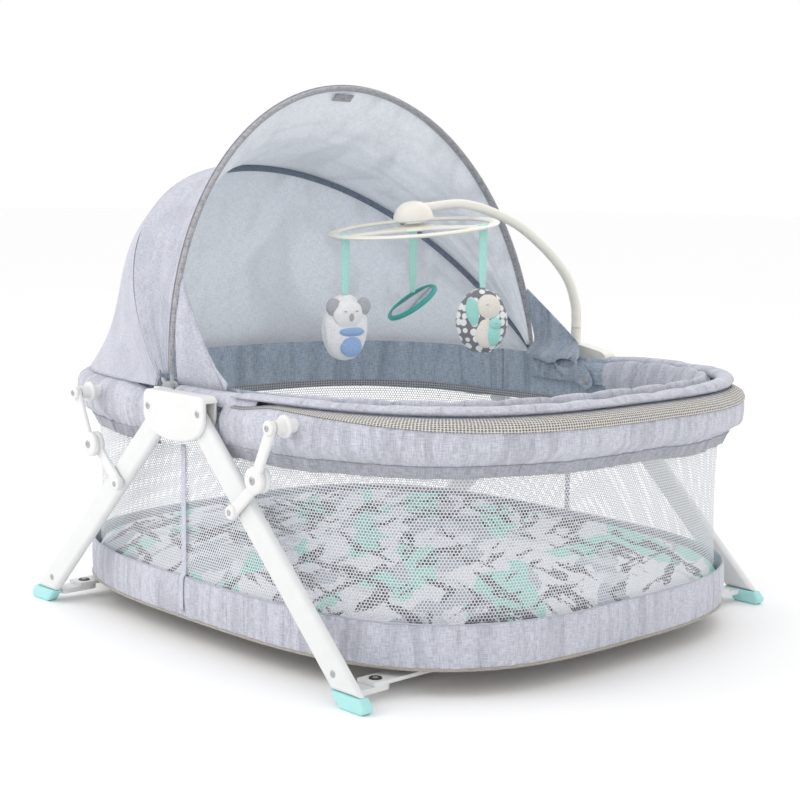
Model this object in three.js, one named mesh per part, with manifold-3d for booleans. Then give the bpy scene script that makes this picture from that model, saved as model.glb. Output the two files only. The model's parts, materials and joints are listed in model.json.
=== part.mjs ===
// Travel bassinet on a folding stand, with a canopy and a hanging-toy mobile.
// Millimetres, +Z up. The origin is on the floor, under the middle of the tub.
// +X is the foot end, -X the head end with the canopy, and the mobile's arm is on the +Y side.
import * as THREE from 'three';
import { mergeVertices } from 'three/addons/utils/BufferGeometryUtils.js';
import Module from 'manifold-3d';

const wasm = await Module();
wasm.setup();

const GAP = 0.3;
const DEG = Math.PI / 180;
const SIDES = [['near', -1], ['far', 1]];
const ENDS = [['foot', 1], ['head', -1]];

// Stand: legs cross under the hub at APEX_Z and reach the floor at LEG_REACH
const LEG_REACH = 300;
const APEX_Z = 294;
const LEG_SLOPE = Math.atan2(APEX_Z, LEG_REACH);
const LEG_WIDTH = 30;
const LEG_INNER_Y = 325.5;
const LEG_THICK = 12;
const LEG_OUTER_Y = LEG_INNER_Y + LEG_THICK;
const LEG_HINGE_X = 24;
const LEG_HINGE_Z = APEX_Z * (1 - LEG_HINGE_X / LEG_REACH);
const LEG_EYE_R = 5.4;
const FOOT_TOP = 24;
const FOOT_FLARE = 1.5;
const FOOT_EXTRA_THICK = 1.5;

// Cross bars under the tub
const TONGUE_X = [262, 286];
const TONGUE_END_Y = 272;
const TONGUE_Z = [10, 16];
const BAR_HALF_WIDTH = 13;
const BAR_HALF_LENGTH = 300;
const BAR_Z = [TONGUE_Z[1] + GAP, TONGUE_Z[1] + 4.3];

// Hubs
const HUB_HALF_WIDTH = 57;
const HUB_TOP = 289;
const HUB_BOTTOM = 235;
const HUB_BACK_Y = 322;
const HUB_FACE_Y = 341.5;
const HUB_WALL = 2.7;
const HUB_PLATE_THICK = 2.5;

// Knee braces: pivots in X and Z on the leg, at the elbow and on the rim
const KNEE_LEG = [109, 173];
const KNEE_ELBOW = [155.5, 214];
const KNEE_RIM = [182.5, 271.6];
const LOWER_LINK_Y = [338.5, 345.5];
const UPPER_LINK_Y = [346, 352.5];
const ELBOW_R = 14.5;
const LINK_R = 7.5;

// Rim: superellipse x/a, y/b with the power RIM_POWER, measured at the tube's centre line
const RIM_A = 375;
const RIM_B = 313;
const RIM_POWER = 3.2;
const RIM_TUBE_Z = 264;
const RIM_TUBE_R = 8;
const RIM_TUBE_END_X = 12;
const COVER_START_X = 70;
const SKIRT_Z = 224;
const COVER_TOP = 287;
const LINING_OFFSET = -24;
const LINING_Z = [228, 294];
const SHEET = 2.5;

// Tub: net walls, band and floor
const NET_A = 370;
const NET_B = 313;
const NET_POWER = 3;
const BAND_A = 376;
const BAND_B = 316;
const BAND_Z = [27, 76];
const PANEL_THICK = 2;
const BOARD_THICK = 3;
const MATTRESS_TOP = 78;

// Canopy: two bows that turn about one axis along Y
const BOW_AXIS_X = -56;
const BOW_AXIS_Z = 284;
const BOW_R = 2.5;
const BOW_EYE_R = 10;
const FRONT_BOW = { height: 356, half: 302.5, lean: 6.8 * DEG };
const MID_BOW = { height: 354, half: 308.5, lean: 43.2 * DEG };
const PANEL_OFFSET = BOW_R + 0.9;
const PANEL_SHEET = 2;

// Mobile
const POST_Y = 328;
const POST_R = 7;
const POST_BORE = 5.2;
const POST_TOP = 328;
const SOCKET_TOP = 307;
const DROOP = 6.6 * DEG;
const RING_CENTRE = [0, 19, 466];
const RING_R = 106;
const RING_BAND = 10;
const HANGER_R = 96;
const TOYS = [
  { name: 'toy_ears', angle: 256.9 * DEG, size: [62, 34, 84], middle: 346 },
  { name: 'toy_mirror', angle: 136.9 * DEG, size: [72, 26, 60], middle: 368 },
  { name: 'toy_dots', angle: 16.9 * DEG, size: [62, 36, 84], middle: 356 },
];

// Colours
const WHITE = [0xf4f4f2, 0.45];
const CREAM = [0xf1eee4, 0.4];
const MINT = [0x8fd6cf, 0.55];
const HEATHER = [0xc3c7db, 0.95];
const BLUE_GREY = [0x9aa7bd, 0.95];
const NET = [0xe6e8ec, 0.9];
const PRINT = [0xd5dfe2, 0.9];
const BOARD = [0xb9a98a, 0.9];
const STEEL = [0xa9abae, 0.35, 0.9];

const bassinet = new THREE.Group();

function add(name, geometry, [color, roughness, metalness = 0], parent = bassinet) {
  const material = new THREE.MeshStandardMaterial({ color, roughness, metalness });
  const mesh = new THREE.Mesh(geometry, material);
  mesh.name = name;
  parent.add(mesh);
  return mesh;
}

// --- Solids -----------------------------------------------------------------------------------

function fromTriangles(points, triangles) {
  const geometry = new THREE.BufferGeometry();
  geometry.setAttribute('position', new THREE.Float32BufferAttribute(points.flat(), 3));
  geometry.setIndex(triangles.flat());
  return geometry;
}

function toSolid(geometry) {
  const bare = geometry.clone();
  bare.deleteAttribute('normal');
  bare.deleteAttribute('uv');
  const merged = mergeVertices(bare, 1e-4);
  return new wasm.Manifold(new wasm.Mesh({
    numProp: 3,
    vertProperties: new Float32Array(merged.attributes.position.array),
    triVerts: new Uint32Array(merged.index.array),
  }));
}

function fromSolid(solid) {
  const mesh = solid.getMesh();
  const geometry = new THREE.BufferGeometry();
  geometry.setAttribute('position', new THREE.BufferAttribute(mesh.vertProperties, 3));
  geometry.setIndex(new THREE.BufferAttribute(mesh.triVerts, 1));
  return geometry;
}

function join(...geometries) {
  return fromSolid(geometries.map(toSolid).reduce((sum, next) => sum.add(next)));
}

function cut(geometry, ...tools) {
  return fromSolid(tools.map(toSolid).reduce((rest, tool) => rest.subtract(tool), toSolid(geometry)));
}

// A flat outline in X and Z, made thick from y0 to y1
function plateXZ(shape, y0, y1, bevel = 0, curveSegments = 6) {
  const geometry = new THREE.ExtrudeGeometry(shape, {
    depth: y1 - y0 - 2 * bevel,
    bevelEnabled: bevel > 0,
    bevelThickness: bevel,
    bevelSize: bevel,
    bevelOffset: -bevel,
    bevelSegments: 1,
    curveSegments,
  });
  return geometry.rotateX(Math.PI / 2).translate(0, y1 - bevel, 0);
}

// The same on either side of the tub: sy is -1 near and 1 far
function sidePlate(shape, [inner, outer], sy, bevel = 0, curveSegments = 6) {
  const [y0, y1] = sy > 0 ? [inner, outer] : [-outer, -inner];
  return plateXZ(shape, y0, y1, bevel, curveSegments);
}

// A round bar along Y
function barY(x, z, radius, [inner, outer], sy, segments = 14) {
  return new THREE.CylinderGeometry(radius, radius, outer - inner, segments)
    .translate(x, sy * (inner + outer) / 2, z);
}

function boxAt([x0, x1], [y0, y1], [z0, z1]) {
  return new THREE.BoxGeometry(x1 - x0, y1 - y0, z1 - z0)
    .translate((x0 + x1) / 2, (y0 + y1) / 2, (z0 + z1) / 2);
}

function sideBox(xs, [inner, outer], zs, sy) {
  return boxAt(xs, sy > 0 ? [inner, outer] : [-outer, -inner], zs);
}

function circle(x, y, radius, Type = THREE.Path) {
  return new Type().absarc(x, y, radius, 0, 2 * Math.PI, false);
}

// A strip with round ends, from one point to another
function strip([x0, z0], [x1, z1], r0, r1) {
  const angle = Math.atan2(z1 - z0, x1 - x0);
  const shape = new THREE.Shape();
  shape.absarc(x0, z0, r0, angle + Math.PI / 2, angle + 1.5 * Math.PI, false);
  shape.absarc(x1, z1, r1, angle - Math.PI / 2, angle + Math.PI / 2, false);
  return shape;
}

// Stations on a superellipse between two polar angles, with the outward direction at each
function outline(a, b, power, start, end, steps, closed = false) {
  const stations = [];
  for (let i = 0; i < steps + (closed ? 0 : 1); i += 1) {
    const angle = start + (end - start) * i / steps;
    const [c, s] = [Math.cos(angle), Math.sin(angle)];
    const radius = (Math.abs(c / a) ** power + Math.abs(s / b) ** power) ** (-1 / power);
    const [x, y] = [radius * c, radius * s];
    const normal = new THREE.Vector3(
      Math.sign(x) * Math.abs(x) ** (power - 1) / a ** power,
      Math.sign(y) * Math.abs(y) ** (power - 1) / b ** power,
      0,
    ).normalize();
    stations.push({ p: new THREE.Vector3(x, y, 0), n: normal, b: new THREE.Vector3(0, 0, 1) });
  }
  return stations;
}

// Sweeps a section (across n, along b) through the stations; section(i) may change on the way
function sweep(stations, section, closed = false) {
  const points = [];
  const triangles = [];
  const rings = stations.map((station, i) => section(i, station));
  const count = rings[0].length;
  stations.forEach(({ p, n, b }, i) => rings[i].forEach(([u, v]) => {
    points.push(p.clone().addScaledVector(n, u).addScaledVector(b, v).toArray());
  }));
  const last = stations.length - (closed ? 0 : 1);
  for (let i = 0; i < last; i += 1) {
    const here = i * count;
    const next = ((i + 1) % stations.length) * count;
    for (let k = 0; k < count; k += 1) {
      const m = (k + 1) % count;
      triangles.push([here + k, next + k, next + m], [here + k, next + m, here + m]);
    }
  }
  if (!closed) {
    const end = (stations.length - 1) * count;
    const flat = (ring) => ring.map(([u, v]) => new THREE.Vector2(u, v));
    THREE.ShapeUtils.triangulateShape(flat(rings[0]), []).forEach((t) => triangles.push(t));
    THREE.ShapeUtils.triangulateShape(flat(rings[rings.length - 1]), [])
      .forEach(([r, s, t]) => triangles.push([end + t, end + s, end + r]));
  }
  return fromTriangles(points, triangles);
}

function roundSection(radius, sides, u = 0, v = 0) {
  return Array.from({ length: sides }, (_, i) => {
    const angle = 2 * Math.PI * i / sides;
    return [u + radius * Math.cos(angle), v + radius * Math.sin(angle)];
  });
}

// A flat-topped body of superellipse levels { a, b, z } from the bottom up
function levels(list, power, steps = 48) {
  const points = [];
  const triangles = [];
  list.forEach(({ a, b, z }) => {
    outline(a, b, power, 0, 2 * Math.PI, steps, true).forEach(({ p }) => points.push([p.x, p.y, z]));
  });
  for (let k = 0; k < list.length - 1; k += 1) {
    for (let i = 0; i < steps; i += 1) {
      const j = (i + 1) % steps;
      const [low, high] = [k * steps, (k + 1) * steps];
      triangles.push([low + i, low + j, high + j], [low + i, high + j, high + i]);
    }
  }
  const bottom = points.push([0, 0, list[0].z]) - 1;
  const top = points.push([0, 0, list[list.length - 1].z]) - 1;
  const lid = (list.length - 1) * steps;
  for (let i = 0; i < steps; i += 1) {
    const j = (i + 1) % steps;
    triangles.push([bottom, j, i], [top, lid + i, lid + j]);
  }
  return fromTriangles(points, triangles);
}

// A closed sheet between two surfaces surface(u, v, offset), u and v from 0 to 1
function sheet(surface, columns, rows, inner, outer) {
  const points = [];
  const triangles = [];
  [inner, outer].forEach((offset) => {
    for (let i = 0; i <= columns; i += 1) {
      for (let j = 0; j <= rows; j += 1) points.push(surface(i / columns, j / rows, offset));
    }
  });
  const at = (layer, i, j) => layer * (columns + 1) * (rows + 1) + i * (rows + 1) + j;
  const quad = (a, b, c, d) => triangles.push([a, b, c], [a, c, d]);
  for (let i = 0; i < columns; i += 1) {
    for (let j = 0; j < rows; j += 1) {
      quad(at(1, i, j), at(1, i + 1, j), at(1, i + 1, j + 1), at(1, i, j + 1));
      quad(at(0, i, j), at(0, i, j + 1), at(0, i + 1, j + 1), at(0, i + 1, j));
    }
    quad(at(0, i, 0), at(0, i + 1, 0), at(1, i + 1, 0), at(1, i, 0));
    quad(at(1, i, rows), at(1, i + 1, rows), at(0, i + 1, rows), at(0, i, rows));
  }
  for (let j = 0; j < rows; j += 1) {
    quad(at(1, 0, j), at(1, 0, j + 1), at(0, 0, j + 1), at(0, 0, j));
    quad(at(0, columns, j), at(0, columns, j + 1), at(1, columns, j + 1), at(1, columns, j));
  }
  return fromTriangles(points, triangles);
}

// --- Stand ------------------------------------------------------------------------------------

function centreX(z) {
  return LEG_REACH * (1 - z / APEX_Z);
}

function mirrored(points, sx) {
  const list = points.map(([x, z]) => new THREE.Vector2(sx * x, z));
  return new THREE.Shape(sx > 0 ? list : list.reverse());
}

function makeLeg(sx, sy) {
  const half = LEG_WIDTH / 2;
  const spread = half / Math.sin(LEG_SLOPE);
  const points = [];
  for (let i = 0; i <= 10; i += 1) {
    const angle = -LEG_SLOPE + Math.PI * (0.5 + i / 10);
    points.push([LEG_HINGE_X + half * Math.cos(angle), LEG_HINGE_Z + half * Math.sin(angle)]);
  }
  points.push([centreX(FOOT_TOP) - spread, FOOT_TOP], [centreX(FOOT_TOP) + spread, FOOT_TOP]);
  const shape = mirrored(points, sx);
  shape.holes.push(circle(sx * LEG_HINGE_X, LEG_HINGE_Z, LEG_EYE_R));
  return sidePlate(shape, [LEG_INNER_Y, LEG_OUTER_Y], sy, 2.5);
}

function makeFoot(sx, sy) {
  const spread = LEG_WIDTH / 2 / Math.sin(LEG_SLOPE) + FOOT_FLARE;
  const top = FOOT_TOP - GAP;
  const points = [
    [centreX(top) - spread, top], [centreX(4) - spread, 4], [centreX(0) - spread + 6, 0],
    [centreX(0) + spread - 5, 0], [centreX(0) + spread - 1, 2.5], [centreX(5) + spread, 5],
    [centreX(top) + spread, top],
  ];
  const layer = [LEG_INNER_Y - FOOT_EXTRA_THICK, LEG_OUTER_Y + FOOT_EXTRA_THICK];
  return sidePlate(mirrored(points, sx), layer, sy, 2);
}

function makeTongue(sx, sy) {
  const [x0, x1] = TONGUE_X;
  const radius = (x1 - x0) / 2;
  const middle = (x0 + x1) / 2;
  const outerY = LEG_INNER_Y - FOOT_EXTRA_THICK - GAP;
  const shape = new THREE.Shape();
  shape.moveTo(x0, -outerY);
  shape.lineTo(x1, -outerY);
  shape.absarc(middle, -TONGUE_END_Y - radius, radius, 0, Math.PI, false);
  const geometry = new THREE.ExtrudeGeometry(shape, {
    depth: TONGUE_Z[1] - TONGUE_Z[0], bevelEnabled: false, curveSegments: 6,
  }).translate(0, 0, TONGUE_Z[0]);
  if (sy > 0) geometry.rotateZ(Math.PI).translate(2 * middle, 0, 0);
  return sx > 0 ? geometry : geometry.translate(-2 * middle, 0, 0);
}

function makeCrossBar(sx) {
  const middle = sx * (TONGUE_X[0] + TONGUE_X[1]) / 2;
  const across = [middle - BAR_HALF_WIDTH, middle + BAR_HALF_WIDTH];
  return boxAt(across, [-BAR_HALF_LENGTH, BAR_HALF_LENGTH], BAR_Z);
}

// --- Hubs -------------------------------------------------------------------------------------

function hubShape(inset) {
  const half = HUB_HALF_WIDTH - inset;
  const top = HUB_TOP - inset;
  const corner = 10 - inset;
  const shoulder = HUB_BOTTOM + 26 + inset;
  const shape = new THREE.Shape();
  shape.moveTo(-half, shoulder);
  shape.quadraticCurveTo(-half + 4, HUB_BOTTOM + 9 + inset, -half + 26, HUB_BOTTOM + 4 + inset);
  shape.quadraticCurveTo(0, HUB_BOTTOM - 4 + inset, half - 26, HUB_BOTTOM + 4 + inset);
  shape.quadraticCurveTo(half - 4, HUB_BOTTOM + 9 + inset, half, shoulder);
  shape.lineTo(half, top - corner);
  shape.quadraticCurveTo(half, top, half - corner, top);
  shape.lineTo(-half + corner, top);
  shape.quadraticCurveTo(-half, top, -half, top - corner);
  return shape;
}

// A shell that is open at the back, with mouths where the legs come out and swing
function makeHubCover(sy) {
  const body = sidePlate(hubShape(0), [HUB_BACK_Y, HUB_FACE_Y], sy, 1.5, 5);
  const room = sidePlate(hubShape(HUB_WALL), [HUB_BACK_Y - 5, HUB_FACE_Y - HUB_WALL], sy, 0, 5);
  const mouths = ENDS.map(([, sx]) => {
    const [x0, x1] = sx > 0 ? [14, 80] : [-80, -14];
    return sideBox([x0, x1], [300, HUB_FACE_Y - 2.3], [220, 282], sy);
  });
  return cut(body, room, ...mouths);
}

// The plate behind the cover, with a boss for each leg and a stub for the canopy bows
function makeHubBack(sy) {
  const plateY = [HUB_BACK_Y, HUB_BACK_Y + HUB_PLATE_THICK];
  const plate = sidePlate(hubShape(HUB_WALL + 3 * GAP), plateY, sy, 0, 5);
  const bosses = ENDS.map(([, sx]) => barY(
    sx * LEG_HINGE_X, LEG_HINGE_Z, LEG_EYE_R - 0.4, [plateY[0] + 1, LEG_OUTER_Y - 0.5], sy));
  const ear = sideBox([BOW_AXIS_X - 9, BOW_AXIS_X + 20], [316, HUB_BACK_Y - GAP], [275.5, 288.5], sy);
  const neck = sideBox([BOW_AXIS_X + 7, BOW_AXIS_X + 20], [321, HUB_BACK_Y + 1], [277, 284], sy);
  const stub = barY(BOW_AXIS_X, BOW_AXIS_Z, 3, [MID_BOW.half + 0.3, 317], sy);
  return join(plate, ...bosses, neck, ear, stub);
}

// --- Knee braces ------------------------------------------------------------------------------

function mirrorPoint([x, z], sx) {
  return [sx * x, z];
}

function makeUpperLink(sx, sy) {
  const [rim, elbow] = [mirrorPoint(KNEE_RIM, sx), mirrorPoint(KNEE_ELBOW, sx)];
  const bar = strip(rim, elbow, LINK_R, LINK_R);
  const solid = join(
    sidePlate(bar, UPPER_LINK_Y, sy, 1),
    barY(...elbow, ELBOW_R, UPPER_LINK_Y, sy, 20),
  );
  const eye = barY(...rim, 4.3, [UPPER_LINK_Y[0] - 2, UPPER_LINK_Y[1] + 2], sy);
  return cut(solid, eye);
}

function makeLowerLink(sx, sy) {
  const [leg, elbow] = [mirrorPoint(KNEE_LEG, sx), mirrorPoint(KNEE_ELBOW, sx)];
  const bar = strip(leg, elbow, LINK_R, LINK_R);
  const solid = join(
    sidePlate(bar, [LOWER_LINK_Y[0], LOWER_LINK_Y[1] - 1], sy, 1),
    barY(...elbow, ELBOW_R, LOWER_LINK_Y, sy, 20),
  );
  const eye = barY(...elbow, 4.3, [LOWER_LINK_Y[0] - 2, LOWER_LINK_Y[1] + 2], sy);
  return cut(solid, eye);
}

// A shouldered stud with a round head: r and y pairs along its axis
function studY([x, z], steps, sy) {
  const first = steps[0][1];
  const last = steps[steps.length - 1][1];
  const profile = [[0, first], ...steps, [0, last]].map(([r, y]) => new THREE.Vector2(r, y));
  const turned = new THREE.LatheGeometry(profile, 14);
  if (sy < 0) turned.rotateX(Math.PI);
  return turned.translate(x, 0, z);
}

function makeRimStud(sx, sy) {
  const start = 312.2;
  const steps = [
    [LINK_R, start], [LINK_R, UPPER_LINK_Y[0] - GAP], [4, UPPER_LINK_Y[0] - GAP],
    [4, UPPER_LINK_Y[1] + GAP], [LINK_R, UPPER_LINK_Y[1] + GAP], [LINK_R, UPPER_LINK_Y[1] + 1.8],
    [5, UPPER_LINK_Y[1] + 3],
  ];
  return studY(mirrorPoint(KNEE_RIM, sx), steps, sy);
}

function makeElbowPin(sx, sy) {
  const steps = [
    [8, LOWER_LINK_Y[0] - 0.7], [8, LOWER_LINK_Y[0] - GAP], [4, LOWER_LINK_Y[0] - GAP],
    [4, UPPER_LINK_Y[0] - GAP / 2],
  ];
  return studY(mirrorPoint(KNEE_ELBOW, sx), steps, sy);
}

// --- Rim --------------------------------------------------------------------------------------

// Polar angle at which the rim's long side reaches x
function rimAngle(x) {
  return Math.atan2(RIM_B * (1 - (x / RIM_A) ** RIM_POWER) ** (1 / RIM_POWER), x);
}

function rimHalf(sx, startX, steps) {
  const angle = rimAngle(startX);
  const turn = sx > 0 ? 0 : Math.PI;
  return outline(RIM_A, RIM_B, RIM_POWER, turn - angle, turn + angle, steps);
}

function makeRimTube(sx) {
  return sweep(rimHalf(sx, RIM_TUBE_END_X, 30), () => roundSection(RIM_TUBE_R, 8, 0, RIM_TUBE_Z));
}

// An arch-shaped section over the tube, open below; beside the hubs it is slimmer and lower
function coverSection(_, { p }) {
  const bulge = 10.8 + 8.2 * THREE.MathUtils.smoothstep(Math.abs(p.x), 70, 210);
  const dip = 7 * (1 - THREE.MathUtils.smoothstep(Math.abs(p.x), 80, 150));
  const roof = 281 - dip / 2;
  const top = COVER_TOP - dip;
  return [
    [-16, SKIRT_Z], [-13.5, SKIRT_Z], [-11.5, 250], [-11.5, 273], [-6, roof - 2], [3, roof - 2],
    [8.8, 272], [8.8, 252], [-1.5, SKIRT_Z], [1, SKIRT_Z], [bulge - 1, 247], [bulge, 265],
    [bulge - 1, top - 8], [2, top], [-12, top - 2], [-16.5, 269],
  ];
}

function makeRimCover(sx) {
  const cover = sweep(rimHalf(sx, COVER_START_X, 26), coverSection);
  const holes = SIDES.map(([, sy]) => barY(sx * KNEE_RIM[0], KNEE_RIM[1], LINK_R + 0.8, [304, 340], sy, 16));
  return cut(cover, ...holes);
}

// A puffed roll on top of the rim, round the foot end
function makeRimPad() {
  const steps = 22;
  const stations = rimHalf(1, COVER_START_X + 6, steps);
  const section = (i) => {
    const swell = Math.sin(Math.PI * i / steps) ** 0.5;
    const height = 5 + 11 * swell;
    return Array.from({ length: 10 }, (_, k) => {
      const angle = 2 * Math.PI * k / 10;
      return [-2.5 + 12.5 * Math.cos(angle), COVER_TOP + 0.8 + height / 2 * (1 + Math.sin(angle))];
    });
  };
  return sweep(stations, section);
}

function makeLining() {
  const [low, high] = LINING_Z;
  const section = () => [[LINING_OFFSET, low], [LINING_OFFSET + SHEET, low],
    [LINING_OFFSET + SHEET, high], [LINING_OFFSET, high]];
  return sweep(outline(RIM_A, RIM_B, RIM_POWER, 0, 2 * Math.PI, 48, true), section, true);
}

// --- Tub --------------------------------------------------------------------------------------

function makeNet() {
  const [low, high] = [BAND_Z[1] + 1, SKIRT_Z - 0.5];
  const section = () => [[-SHEET, low], [0, low], [0, high], [-SHEET, high]];
  return sweep(outline(NET_A, NET_B, NET_POWER, 0, 2 * Math.PI, 48, true), section, true);
}

function makeBand() {
  const [low, high] = BAND_Z;
  const section = () => [[-SHEET, low], [0, low], [0, high], [-SHEET, high]];
  return sweep(outline(BAND_A, BAND_B, RIM_POWER, 0, 2 * Math.PI, 48, true), section, true);
}

function makePanel() {
  const inset = SHEET + 0.6;
  const size = { a: BAND_A - inset, b: BAND_B - inset };
  return levels([{ ...size, z: BAND_Z[0] }, { ...size, z: BAND_Z[0] + PANEL_THICK }], RIM_POWER);
}

function makeBoard(sx) {
  const bottom = BAND_Z[0] + PANEL_THICK + GAP;
  const size = { a: BAND_A - 8, b: BAND_B - 8 };
  const whole = levels([{ ...size, z: bottom }, { ...size, z: bottom + BOARD_THICK }], RIM_POWER);
  const other = sx > 0 ? [-BAND_A, 1] : [-1, BAND_A];
  return cut(whole, boxAt(other, [-BAND_B, BAND_B], [bottom - 5, bottom + 10]));
}

function makeMattress() {
  const bottom = BAND_Z[0] + PANEL_THICK + BOARD_THICK + 2 * GAP;
  const size = (inset, z) => ({ a: BAND_A - 6 - inset, b: BAND_B - 6 - inset, z });
  return levels([size(8, bottom), size(0, bottom + 8), size(0, MATTRESS_TOP - 12),
    size(4, MATTRESS_TOP - 4), size(14, MATTRESS_TOP)], RIM_POWER, 56);
}

// --- Canopy -----------------------------------------------------------------------------------

// A point of a half ellipse that leans back from the vertical, grown outward by offset
function bowPoint({ height, half, lean }, angle, offset = 0) {
  const rise = (height + offset) * Math.sin(angle);
  return new THREE.Vector3(
    BOW_AXIS_X - rise * Math.sin(lean),
    -(half + offset) * Math.cos(angle),
    BOW_AXIS_Z + rise * Math.cos(lean),
  );
}

function bowStations(bow, steps) {
  const start = (BOW_EYE_R - 4) / bow.height;
  const across = new THREE.Vector3(Math.cos(bow.lean), 0, Math.sin(bow.lean));
  return Array.from({ length: steps + 1 }, (_, i) => {
    const angle = start + (Math.PI - 2 * start) * i / steps;
    const p = bowPoint(bow, angle);
    const ahead = bowPoint(bow, angle + 1e-3).sub(bowPoint(bow, angle - 1e-3)).normalize();
    const n = new THREE.Vector3().crossVectors(ahead, across).normalize();
    return { p, n, b: new THREE.Vector3().crossVectors(n, ahead) };
  });
}

// The rod, with a flat eye at each end and the eye's stub or hole
function makeBow(bow, stubReach) {
  const rod = sweep(bowStations(bow, 40), () => roundSection(BOW_R, 6));
  const layer = [bow.half - 2.5, bow.half + 2.5];
  const parts = SIDES.flatMap(([, sy]) => {
    const eye = barY(BOW_AXIS_X, BOW_AXIS_Z, BOW_EYE_R, layer, sy, 16);
    if (!stubReach) return [eye];
    return [eye, barY(BOW_AXIS_X, BOW_AXIS_Z, 3, [layer[1] - 1, layer[1] + stubReach], sy)];
  });
  const solid = join(rod, ...parts);
  if (stubReach) return solid;
  const drill = [layer[0] - 3, layer[1] + 3];
  return cut(solid, ...SIDES.map(([, sy]) => barY(BOW_AXIS_X, BOW_AXIS_Z, 3.4, drill, sy)));
}

// The sheet between the two bows, just outside them
function makeFrontPanel() {
  const surface = (u, v, offset) => {
    const mixed = {
      height: THREE.MathUtils.lerp(FRONT_BOW.height, MID_BOW.height, v),
      half: THREE.MathUtils.lerp(FRONT_BOW.half, MID_BOW.half, v),
      lean: THREE.MathUtils.lerp(FRONT_BOW.lean - 0.8 * DEG, MID_BOW.lean, v),
    };
    return bowPoint(mixed, (14 + 152 * u) * DEG, offset).toArray();
  };
  return sheet(surface, 26, 4, PANEL_OFFSET, PANEL_OFFSET + PANEL_SHEET);
}

// The sheet from the middle bow down to the head end of the rim
function makeRearPanel() {
  const surface = (u, v, offset) => {
    const angle = (10 + 160 * u) * DEG;
    const high = bowPoint({ ...MID_BOW, lean: MID_BOW.lean + 1.4 * DEG }, angle, offset);
    const polar = Math.PI + rimAngle(COVER_START_X + 20) * Math.cos(angle);
    const [{ p, n }] = outline(RIM_A, RIM_B, RIM_POWER, polar, polar + 1, 1);
    const low = p.clone().addScaledVector(n, offset - 4).setZ(COVER_TOP + 3);
    const bulge = 26 * Math.sin(Math.PI * v) * Math.sin(angle);
    return high.lerp(low, v).add(new THREE.Vector3(-bulge, 0, bulge * 0.4)).toArray();
  };
  return sheet(surface, 26, 5, PANEL_OFFSET, PANEL_OFFSET + PANEL_SHEET);
}

// The flap from the front bow forward to the hub, outside the eye
function makeWing(top, tip, sy) {
  const shape = new THREE.Shape();
  shape.moveTo(BOW_AXIS_X + 12, BOW_AXIS_Z + 10);
  shape.lineTo(tip[0] - 8, tip[1] - 4);
  shape.quadraticCurveTo(tip[0], tip[1] - 4, tip[0], tip[1] + 5);
  shape.quadraticCurveTo(tip[0] - 45, tip[1] + 25, top[0] + 3, top[1]);
  shape.lineTo(top[0] + 8, top[1] - 8);
  return sidePlate(shape, [FRONT_BOW.half - 2, FRONT_BOW.half], sy, 0, 6);
}

// --- Mobile -----------------------------------------------------------------------------------

// A turned body on the axis of the drooping end; r and height pairs measured from the ring's centre
function turned(profile, segments = 20) {
  const points = profile.map(([r, h]) => new THREE.Vector2(r, h));
  return new THREE.LatheGeometry(points, segments)
    .rotateX(Math.PI / 2 + DROOP)
    .translate(...RING_CENTRE);
}

function makeSocket() {
  const shape = new THREE.Shape();
  shape.moveTo(-16, HUB_TOP + GAP);
  shape.lineTo(62, HUB_TOP + GAP);
  shape.quadraticCurveTo(62, HUB_TOP + 10, 46, HUB_TOP + 12);
  shape.quadraticCurveTo(14, SOCKET_TOP, 9, SOCKET_TOP);
  shape.lineTo(-9, SOCKET_TOP);
  shape.quadraticCurveTo(-16, SOCKET_TOP, -16, SOCKET_TOP - 8);
  const block = plateXZ(shape, POST_Y - 10, POST_Y + 11, 0, 6);
  const hole = new THREE.CylinderGeometry(POST_R + GAP, POST_R + GAP, 30, 24)
    .rotateX(Math.PI / 2).translate(0, POST_Y, HUB_TOP + 4 + 15);
  return cut(block, hole);
}

function makePost() {
  const [low, high] = [HUB_TOP + 4 + GAP, POST_TOP];
  const bore = [[POST_BORE, high], [POST_BORE, low + 3], [0, low + 3]];
  const profile = [[0, low], [POST_R, low], [POST_R, high], ...bore];
  return new THREE.LatheGeometry(profile.map(([r, z]) => new THREE.Vector2(r, z)), 24)
    .rotateX(Math.PI / 2).translate(0, POST_Y, 0);
}

// The arm's path in the plane X = 0: straight up, over the tub, ending in the droop
function armCurve() {
  const route = [
    [POST_Y, POST_TOP + 0.6], [POST_Y, 342], [324, 364], [306, 398],
    [262, 436], [196, 473], [112, 495], [44, 492],
  ];
  return new THREE.CatmullRomCurve3(route.map(([y, z]) => new THREE.Vector3(0, y, z)));
}

function makeArm() {
  const curve = armCurve();
  const steps = 28;
  const across = new THREE.Vector3(1, 0, 0);
  const stations = Array.from({ length: steps + 1 }, (_, i) => {
    const t = i / steps;
    const ahead = curve.getTangentAt(t);
    const n = new THREE.Vector3().crossVectors(ahead, across);
    return { p: curve.getPointAt(t), n, b: new THREE.Vector3().crossVectors(n, ahead) };
  });
  const radius = (i) => POST_R - 1.5 * i / steps;
  const tube = sweep(stations, (i) => roundSection(radius(i), 10));
  const spigot = new THREE.CylinderGeometry(POST_BORE - GAP, POST_BORE - GAP, 26, 14)
    .rotateX(Math.PI / 2).translate(0, POST_Y, POST_TOP - 9);
  return join(tube, spigot);
}

// A cap over the ring's spindle, with a hole for it below
function makeDome() {
  const dome = turned([[0, 9], [23, 9], [25, 12], [24, 18], [20, 25], [12, 31], [0, 33]]);
  const bore = turned([[0, 5], [4.6, 5], [4.6, 19], [0, 19]], 20);
  const arm = new THREE.CylinderGeometry(6, 6, 40, 14)
    .rotateX(DROOP).translate(0, 34, 491);
  return cut(dome, bore, arm);
}

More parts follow.
